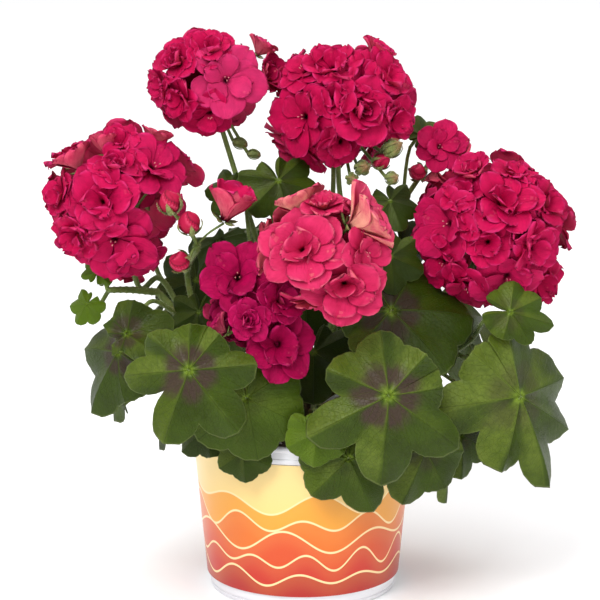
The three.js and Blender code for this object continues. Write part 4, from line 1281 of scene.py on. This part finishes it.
def branch_pieces():
    for name, points in BRANCHES.items():
        strand = stem_strand(points, BRANCH_RADIUS, 1.0)
        mesh = hairy(name + "_stem", tubes(name + "_stem", [strand], BRANCH_SIDES, STEM), *BRANCH_HAIRS)
        shown(name + "_stem", mesh, "green_stem", name)


# Florets
PETAL_THICKNESS = 0.34
OUTER_CELLS = 8
INNER_CELLS = 6
SEPALS = 5
# Each kind of floret is its whorls of petals: count, length, width, rise at the base and at the tip in
# degrees, cup and ruffle
FLORET_KINDS = [
    [(6, 22, 18, 42, -10, 0.08, 0.05), (4, 15, 13, 58, 14, 0.2, 0.08)],
    [(6, 22, 18, 42, -8, 0.10, 0.055), (5, 18, 16, 56, 10, 0.15, 0.08), (4, 13, 12, 70, 36, 0.4, 0.1)],
    [(5, 22, 20, 42, -4, 0.10, 0.05), (5, 18, 17, 60, 24, 0.3, 0.06), (5, 14, 13, 72, 55, 0.6, 0.08),
     (3, 9, 9, 84, 78, 0.8, 0.08)],
    [(5, 20, 18, 62, 28, 0.35, 0.05), (4, 14, 13, 74, 52, 0.5, 0.08)],
    [(6, 20, 17, 50, 4, 0.2, 0.07), (5, 15, 13, 62, 30, 0.35, 0.1)],
    [(5, 23, 20, 38, -14, 0.06, 0.05), (5, 17, 14, 54, 6, 0.15, 0.08)],
    [(5, 22, 20, 70, 44, 0.45, 0.05), (4, 16, 13, 78, 66, 0.6, 0.06)],
    [(5, 19, 19, 52, 10, 0.15, 0.05)],
]
CUP_KIND = 6
FILLER_KIND = 7
STAMEN_KINDS = (0, 5)

# How much of the back colour shows on petals' undersides: most in the closed, cupped kinds
PALE_KINDS = (3, CUP_KIND)
PALE_BACK = 1.0
PLAIN_BACK = 0.3


def own_places(s, t):
    """The values of a grid's points: how far across and along it they lie, and 0 for its upper side."""
    return np.stack([0 * s + t, s + 0 * t, 0 * (s + t)], -1)


def spun(points, spin):
    """Points turned about the upright."""
    turn = np.array([[math.cos(spin), math.sin(spin), 0], [-math.sin(spin), math.cos(spin), 0], [0, 0, 1]])
    return points @ turn


def petal(clay, whorl, spin, rng, cells, back):
    """One petal: a narrow claw that widens to a round, softly waved tip, curving out from the floret's
    middle."""
    length, width, rise, end, cup, ruffle = whorl
    s = np.sin(np.linspace(0, 1, cells + 1) * math.pi / 2)[:, None]
    t = np.sin(np.linspace(-1, 1, cells + 1) * math.pi / 2)[None, :]
    # The outline: a narrow claw, then the full width, rounded off at the tip
    early = np.clip(s / 0.62, 0, 1)
    shape = (0.2 + 0.8 * early**2 * (3 - 2 * early)) * np.sqrt(1 - 0.93 * np.clip((s - 0.6) / 0.4, 0, 1) ** 2)
    # The way out and up from claw to tip, with the tip notched and its corners drawn in
    slope = np.radians(rise + (end - rise) * s**0.8)
    step = np.diff(s, axis=0, prepend=0) * length
    shorter = length * (0.025 * np.exp(-((t / 0.3) ** 2)) + 0.07 * t**2) * s**6
    out = 0.3 + np.cumsum(np.cos(slope) * step, axis=0) - shorter * np.cos(slope)
    high = np.cumsum(np.sin(slope) * step, axis=0) - shorter * np.sin(slope)
    side = t * width / 2 * shape
    # Ruffles that grow towards the rim, on a petal that is cupped and leans to one side
    phase = rng.random() * FULL_TURN
    wave = 1.15 * s**2 * np.sin((1.5 + 0.9 * rng.random()) * math.pi * t + phase)
    wave += 0.5 * s**3 * np.sin(3.4 * t + phase * 2 + 2 * s)
    raised = cup * width / 2 * shape * t**2 + ruffle * width * wave + (rng.random() - 0.5) * 0.5 * side
    x = out - np.sin(slope) * raised
    z = high + np.cos(slope) * raised
    grid = np.stack([x, side, z], -1)
    normals = unit(np.cross(np.gradient(grid, axis=0), np.gradient(grid, axis=1)) + [0, 0, 1e-6])
    thin = PETAL_THICKNESS / 2 * (1 - 0.5 * s**4)[..., None]
    points, faces = sheet(grid + normals * thin, grid - normals * thin)
    flat = own_places(s, t)
    clay.add(spun(points, spin), faces, petal_place=two_sides(flat, flat + [0, 0, back]))


def sepals(clay):
    """Narrow pointed sepals in a whorl behind the petals."""
    s, t = np.linspace(0, 1, 5)[:, None], np.linspace(-1, 1, 3)[None, :]
    half = 1.6 * np.sin((s * 0.92 + 0.08) * math.pi) ** 0.6 + 0.08
    grid = np.stack([0.7 + 7 * s + 0 * t, t * half, 0.6 * half * t**2 - 0.8 + 2.2 * s**2 + 0 * t], -1)
    points, faces = sheet(grid + [0, 0, 0.2], grid - [0, 0, 0.2])
    flat = own_places(s, t)
    for i in range(SEPALS):
        spin = 2 * math.pi * (i + 0.5) / SEPALS
        clay.add(spun(points, spin), faces, 1, petal_place=two_sides(flat, flat))


def stamens(clay, rng):
    """A few pale anthers low in the floret's middle."""
    for i in range(3):
        spin = 2 * math.pi * i / 3 + rng.random()
        head = np.array([1.3 * math.cos(spin), 1.3 * math.sin(spin), 5.0 + rng.random() * 2])
        points, faces = turned([(0, -1), (0.7, -0.7), (1, 0), (0.7, 0.7), (0, 1)], 5)
        clay.add(points * [0.4, 0.4, 0.9] + head, faces, 2)


def floret_kinds():
    """The florets that the heads are set with, each its own mesh in metres with its middle at the origin."""
    made = []
    for number, whorls in enumerate(FLORET_KINDS):
        rng = random.Random(31 + number)
        clay = Clay()
        for tier, (count, length, width, rise, end, cup, ruffle) in enumerate(whorls):
            for i in range(count):
                spin = 2 * math.pi * (i + 0.5 * tier) / count + (rng.random() - 0.5) * (0.3 + 0.2 * tier)
                grow = 1 + (rng.random() - 0.5) * (0.14 + 0.12 * tier)
                tilt = (rng.random() - 0.5) * (12 + 14 * tier)
                whorl = (length * grow, width * grow, rise + tilt, end + tilt, cup, ruffle)
                cells = OUTER_CELLS if tier == 0 and number != FILLER_KIND else INNER_CELLS
                petal(clay, whorl, spin, rng, cells, PALE_BACK if number in PALE_KINDS else PLAIN_BACK)
        if number != FILLER_KIND:
            sepals(clay)
        if number in STAMEN_KINDS:
            stamens(clay, rng)
        mesh = clay.mesh("floret_%d" % number, [PETALS["cerise"], SEPAL, ANTHER])
        petals = mesh.attributes.new("is_petal", "BOOLEAN", "FACE")
        petals.data.foreach_set("value", [part[2] == 0 for part in clay.parts for _ in part[1]])
        made.append(bpy.data.objects.new("floret_%d" % number, mesh))
    return made


def head_tree():
    """Florets set on the points of a head, each turned and sized as its point says, and all rumpled a
    little."""
    inputs = {"Florets": "Collection", "Rumple": "Float", "Material": "Material"}
    tree, g, given = geometry_tree("florets_on_head", inputs)

    def named(name, kind):
        return g.node("GeometryNodeInputNamedAttribute", {"Name": name}, data_type=kind)

    values = {"Collection": given["Florets"], "Separate Children": True, "Reset Children": True}
    kinds = g.node("GeometryNodeCollectionInfo", values)
    points = g.node("GeometryNodeMeshToPoints", {"Mesh": given["Geometry"]})
    way = named("facing", "FLOAT_VECTOR")
    facing = g.node("FunctionNodeAlignRotationToVector", {"Vector": way}, axis="Z")
    spin = g.node("FunctionNodeAxisAngleToRotation", {"Axis": (0, 0, 1), "Angle": named("spin", "FLOAT")})
    turn = g.node("FunctionNodeRotateRotation", [facing, spin], rotation_space="LOCAL")
    kind, size = named("kind", "INT"), named("size", "FLOAT_VECTOR")
    values = {"Points": points, "Instance": kinds, "Pick Instance": True, "Instance Index": kind,
              "Rotation": turn, "Scale": size}
    florets = g.node("GeometryNodeInstanceOnPoints", values)
    real = g.node("GeometryNodeRealizeInstances", [florets])
    where = g.node("GeometryNodeInputPosition")
    swirl = g.node("ShaderNodeTexNoise", {"Vector": where, "Scale": 60.0, "Detail": 0.0}).output("Color")
    values = {0: g.vector("SUBTRACT", swirl, (0.5, 0.5, 0.5)), "Scale": given["Rumple"]}
    push = g.node("ShaderNodeVectorMath", values, operation="SCALE")
    rumpled = g.node("GeometryNodeSetPosition", {"Geometry": real, "Offset": push})
    values = {"Geometry": rumpled, "Selection": named("is_petal", "BOOLEAN"), "Material": given["Material"]}
    done = g.node("GeometryNodeSetMaterial", values)
    g.node("NodeGroupOutput", [done])
    return tree


# How florets fill a head, a ball whose reach here is from its top downwards, in parts of its radius. Those
# that aren't given stand at least so far apart, in ways that spread evenly over the ball; a head smaller than
# the smallest full one has none of them. The fillers are plain dark ones further in.
# The fillers' dark tone is painted shade, for the depths of the head.
FLORET_FOOT = 5
FLORET_SPAN = 19
FLORET_RISE = 4
SEEN_REACH_SQUARED = 0.85
SPREAD_REACH = 1.7
FILLER_REACH = 1.5
FILLER_DEPTH_PART = 0.5
FLORET_DEPTH = 8
FLORET_SPACING = 29
SPREAD_KINDS = [0, 1, 1, 2, 4, 5]
SPREAD_WAYS = 220
SMALLEST_FULL_HEAD = 20
FULL_SIZE_HEAD = 42
FILLER_SPACING = 1.0
FILLER_SIZE = 0.95
FILLER_MARGIN = 0.3
SEEN_LEAN = 0.2
SPREAD_LEAN = 0.55
RUMPLE = 3.0


def seen_way(right, up, ahead):
    """The direction that runs so far to the right, up and towards the eye in the front view."""
    sin, cos = math.sin(CAMERA_ELEVATION), math.cos(CAMERA_ELEVATION)
    return unit([right, up * sin - ahead * cos, up * cos + ahead * sin])


def turn_to(axis, direction):
    """A direction given about the upright, turned so that the upright becomes the axis."""
    return np.array(Vector(tuple(UP)).rotation_difference(Vector(tuple(axis))) @ Vector(tuple(direction)))


def floret_distance(radius, size):
    """How far from a head's middle a floret stands for its petals' tips to reach the head's radius."""
    return math.sqrt(max(0.0, radius**2 - (FLORET_SPAN * size) ** 2)) - FLORET_RISE * size


def nudged(way, much, rng):
    """A direction, leant at random by up to about so much."""
    return unit(way + much * np.array([rng.random() - 0.5 for _ in range(3)]))


def seen_florets(flower, rng):
    """Place from the head's middle, facing, kind, size and tone of each floret that is given."""
    for right, up, kind, size, *facing in flower["seen"]:
        tone = facing[1] if len(facing) > 1 else 0.3 + 0.5 * rng.random()
        ahead = math.sqrt(max(0.0, SEEN_REACH_SQUARED - right * right - up * up))
        outwards = seen_way(right, up, ahead)
        face = nudged(seen_way(*facing[0]) if facing else outwards, SEEN_LEAN, rng)
        place = flower["radius"] * math.hypot(right, up, ahead) * outwards - FLORET_FOOT * size * face
        yield place, face, kind, size, tone


def even_ways(flower, spread, margin):
    """Ways that spread evenly from a head's axis downwards, but for those where the head is bare."""
    axis = unit(flower["axis"])
    across, high = seen_way(1, 0, 0), seen_way(0, 1, 0)
    for i in range(SPREAD_WAYS):
        height = 1 - spread * (i + 0.5) / SPREAD_WAYS
        width = math.sqrt(1 - height * height)
        angle = GOLDEN_ANGLE * i
        way = turn_to(axis, (width * math.cos(angle), width * math.sin(angle), height))
        if not any(math.hypot(way @ across - right, way @ high - up) < reach + margin
                   for right, up, reach in flower.get("bare", [])):
            yield way


def roomy(way, taken, room):
    """Whether a way lies at least so far from all those taken; then it is taken too."""
    gap = min([math.acos(max(-1, min(1, float(way @ other)))) for other in taken], default=9)
    if gap >= room:
        taken.append(way)
    return gap >= room


def floret_places(flower, rng):
    """Place, facing, kind, size and tone of each floret: the given ones, then others spread where there is
    room, then dark ones within."""
    placed = list(seen_florets(flower, rng))
    radius = flower["radius"]
    if radius < SMALLEST_FULL_HEAD:
        return placed
    inner = radius - FLORET_DEPTH
    taken = [unit(one[0]) for one in placed]
    for way in even_ways(flower, SPREAD_REACH, 0.0):
        if roomy(way, taken, FLORET_SPACING / inner):
            face = nudged(way, SPREAD_LEAN, rng)
            size = min(1, radius / FULL_SIZE_HEAD) * (0.92 + 0.22 * rng.random())
            distance = floret_distance(radius * (0.92 + 0.07 * rng.random()), size)
            placed.append((way * distance, face, rng.choice(SPREAD_KINDS), size, 0.15 + 0.8 * rng.random()))
    taken = []
    for way in even_ways(flower, FILLER_REACH, FILLER_MARGIN):
        if roomy(way, taken, FILLER_SPACING):
            face = nudged(way, SPREAD_LEAN, rng)
            # tone 0: the fillers are painted darkest, as shade deep in the head
            placed.append((way * inner * FILLER_DEPTH_PART, face, FILLER_KIND, FILLER_SIZE, 0.0))
    return placed


def pedicel(start, end, axis, thick):
    """A thin stalklet from the head's middle to a floret or bud, leaving along the stalk."""
    line = route([start, start + (end - start) * 0.4 + axis * 1.5, end], 7)
    share = np.linspace(0, 1, len(line))
    return line, thick * (1 + 0.3 * share), np.zeros(len(line))


# Buds, and the florets' stalklets
FLORET_NECK = 1.2
BUD_SIDES = 30
BUD_PETALS = 3
SEPAL_COVER = {"red": 0.66, "green": 1.0, "opening": 0.85}
HALF_OPEN_LENGTH = 11
HALF_OPEN_SIZE = 1.05
HALF_OPEN_TONE = 0.6
UMBEL_PART = 0.25
STALK_BEND_PART = 1.1


def bud_radius(h):
    """Half the width of a bud at a height from 0 to 1, in parts of its width."""
    return 0.5 * np.sin(np.clip(h, 0, 1) * math.pi) ** 0.7 * (1.1 - 0.25 * h)


def bud_shape(clay, cups, root, bud):
    """A bud on its place: petals furled in a spiral, held in sepals; a green bud is sepals all over. Gives
    where its stalklet ends."""
    middle, (length, width, look) = np.array(bud[:3], float), bud[3:]
    axis = unit(unit(middle - root) + 0.7 * UP)
    base = unit(np.cross(axis, [0.31, 0.17, 0.93]))
    turn = np.stack([base, np.cross(axis, base), axis])
    foot = middle - axis * length / 2
    petals, cup = Clay(), Clay()
    heights = np.linspace(0, 1, 13)
    points, faces = turned([(0, 0), *zip(bud_radius(heights[1:-1]), heights[1:-1]), (0, 1)], BUD_SIDES)
    around = np.arctan2(points[:, 1], points[:, 0]) / (2 * math.pi)
    furl = (around * BUD_PETALS + points[:, 2] * 1.1) % 1
    points[:, :2] *= (0.92 + 0.13 * furl)[:, None]
    place = np.stack([around, points[:, 2], furl], -1)
    (cup if look == "green" else petals).add(points * [width, width, length], faces, petal_place=place)
    s, t = np.linspace(0, 1, 8)[:, None], np.linspace(-1, 1, 5)[None, :]
    high = s * SEPAL_COVER[look]
    ring = (bud_radius(high * 0.97 + 0.03) + 0.04) * width + 0.3 + 0.5 * s**3
    half = width * 0.17 * (1 - s**2.2) + 0.06
    flat = own_places(s, t)
    for i in range(SEPALS):
        angle = 2 * math.pi * i / SEPALS + t * half / np.maximum(ring, half)
        grid = np.stack([ring * np.cos(angle), ring * np.sin(angle), high * length - 0.3 + 0 * t], -1)
        thick = np.stack([np.cos(angle), np.sin(angle), 0 * angle], -1) * 0.22
        points, faces = sheet(grid + thick, grid - thick)
        cup.add(points, faces, petal_place=two_sides(flat, flat))
    clay.include(petals, turn, foot)
    cups.include(cup, turn, foot)
    return foot


def set_florets(name, places, centre, tree, folder, finish, rng):
    """The florets of a head, grown on a mesh of one point for each."""
    mesh = bpy.data.meshes.new(name + "_points")
    mesh.from_pydata([tuple((centre + one[0]) * MM) for one in places], [], [])
    sizes = [[one[3] * (0.9 + 0.2 * rng.random()) for _ in range(3)] for one in places]
    table = {
        "facing": ("FLOAT_VECTOR", "vector", np.concatenate([one[1] for one in places])),
        "size": ("FLOAT_VECTOR", "vector", np.concatenate(sizes)),
        "spin": ("FLOAT", "value", [rng.random() * FULL_TURN for _ in places]),
        "tone": ("FLOAT", "value", [one[4] for one in places]),
        "kind": ("INT", "value", [one[2] for one in places]),
    }
    for key, (sort, field, data) in table.items():
        mesh.attributes.new(key, sort, "POINT").data.foreach_set(field, data)
    return grown(name, mesh, tree, {"Florets": folder, "Rumple": RUMPLE * MM, "Material": finish})


def umbel_place(flower):
    """Where a head's stalk ends and its stalklets begin."""
    return np.array(flower["at"], float) - unit(flower["axis"]) * UMBEL_PART * flower["radius"]


def head_piece(name, flower, tree, folder):
    """A head: its florets and buds with their stalklets."""
    rng = seeded("flower" + name)
    centre, axis, umbel = np.array(flower["at"], float), unit(flower["axis"]), umbel_place(flower)
    places = floret_places(flower, rng)
    clay, cups = Clay(), Clay()
    strands = []
    for bud in flower.get("buds", []):
        if bud[5] == "half_open":
            way = seen_way(0.3, 0.9, 0.25)
            place = np.array(bud[:3]) - centre - way * HALF_OPEN_LENGTH
            places.append((place, way, CUP_KIND, HALF_OPEN_SIZE, HALF_OPEN_TONE))
        else:
            strands.append(pedicel(umbel, bud_shape(clay, cups, umbel, bud), axis, BUD_STALKLET_RADIUS))
    for place, face, *_ in places:
        end = centre + place - face * FLORET_NECK
        strands.append(pedicel(umbel, end, axis, FLORET_STALKLET_RADIUS))
    stalklets = tubes(name + "_stalklets", strands, STALKLET_SIDES, STEM)
    pieces = [set_florets(name, places, centre, tree, folder, PETALS[flower["color"]], rng),
              hairy(name + "_stalklets", stalklets, *STALKLET_HAIRS)]
    if clay.parts:
        pieces.append(clay.mesh(name + "_buds", [BUD]))
    if cups.parts:
        pieces.append(hairy(name + "_cups", cups.mesh(name + "_cups", [SEPAL]), *SEPAL_HAIRS))
    head = "flower_head_" + name
    slot = "flower_bud" if name == "buds_left" else "petal_" + flower["color"]
    shown(head + "_florets", join(head + "_florets", *pieces), slot, head)


def flower_stalk_piece(name, flower):
    """A head's stalk, a little swollen where the stalklets begin."""
    start = STEM_NODES[flower["on"]][flower["node"]]
    below = np.array(flower["at"], float) - unit(flower["axis"]) * STALK_BEND_PART * flower["radius"]
    line = route([start, *flower.get("via", []), below, umbel_place(flower)], 30)
    share = np.linspace(0, 1, len(line))
    radii = FLOWER_STALK_RADIUS * (1.05 - 0.25 * share) + 1.1 * np.exp(-(((share - 1) / 0.03) ** 2))
    strand = (line, radii, np.full(len(line), 0.2))
    stalk = tubes("flower_stalk_" + name, [strand], FLOWER_STALK_SIDES, STEM)
    stalk = hairy("flower_stalk_" + name, stalk, *FLOWER_STALK_HAIRS)
    shown("flower_stalk_" + name + "_stem", stalk, "green_stem", "flower_stalk_" + name)


def flower_pieces():
    kinds = floret_kinds()
    folder = bpy.data.collections.new("floret_kinds")
    for kind in kinds:
        folder.objects.link(kind)
    tree = head_tree()
    for name, flower in FLOWERS.items():
        head_piece(name, flower, tree, folder)
        flower_stalk_piece(name, flower)
    for kind in kinds:
        bpy.data.objects.remove(kind)
    bpy.data.collections.remove(folder)


pot_piece()
wrap_piece()
soil_crumbs(soil_piece())
crown_piece()
branch_pieces()
leaf_pieces()
shoot_pieces()
flower_pieces()


# Floor and light
def floor_paint(g):
    """Plain white, very slightly clouded."""
    place = g.place()
    cloud = g.noise(place, 3, 2)
    colour = g.mix(cloud, ink(250, 250, 250), ink(253, 253, 253))
    return {"Base Color": colour, "Roughness": 0.9 + cloud * 0.05}


def floor_piece():
    clay = Clay()
    clay.add(FLOOR_CORNERS, [(0, 1, 2, 3)])
    in_scene("floor", clay.mesh("floor", [material("floor_white", floor_paint)]))


def lamp(name, place, side, power):
    light = bpy.data.lights.new(name, "AREA")
    light.size = side
    light.energy = power
    made = in_scene(name, light)
    made.location = place
    made.rotation_euler = (Vector(LAMP_AIM) - Vector(place)).to_track_quat("-Z", "Y").to_euler()


floor_piece()
for name, (place, side, power) in LAMPS.items():
    lamp(name, place, side, power)
world = bpy.data.worlds.new("studio")
world.use_nodes = True
sky = world.node_tree.nodes["Background"].inputs
sky["Color"].default_value = ink(250, 250, 252)
sky["Strength"].default_value = SKY_STRENGTH
bpy.context.scene.world = world
bpy.context.scene.view_settings.view_transform = "Standard"
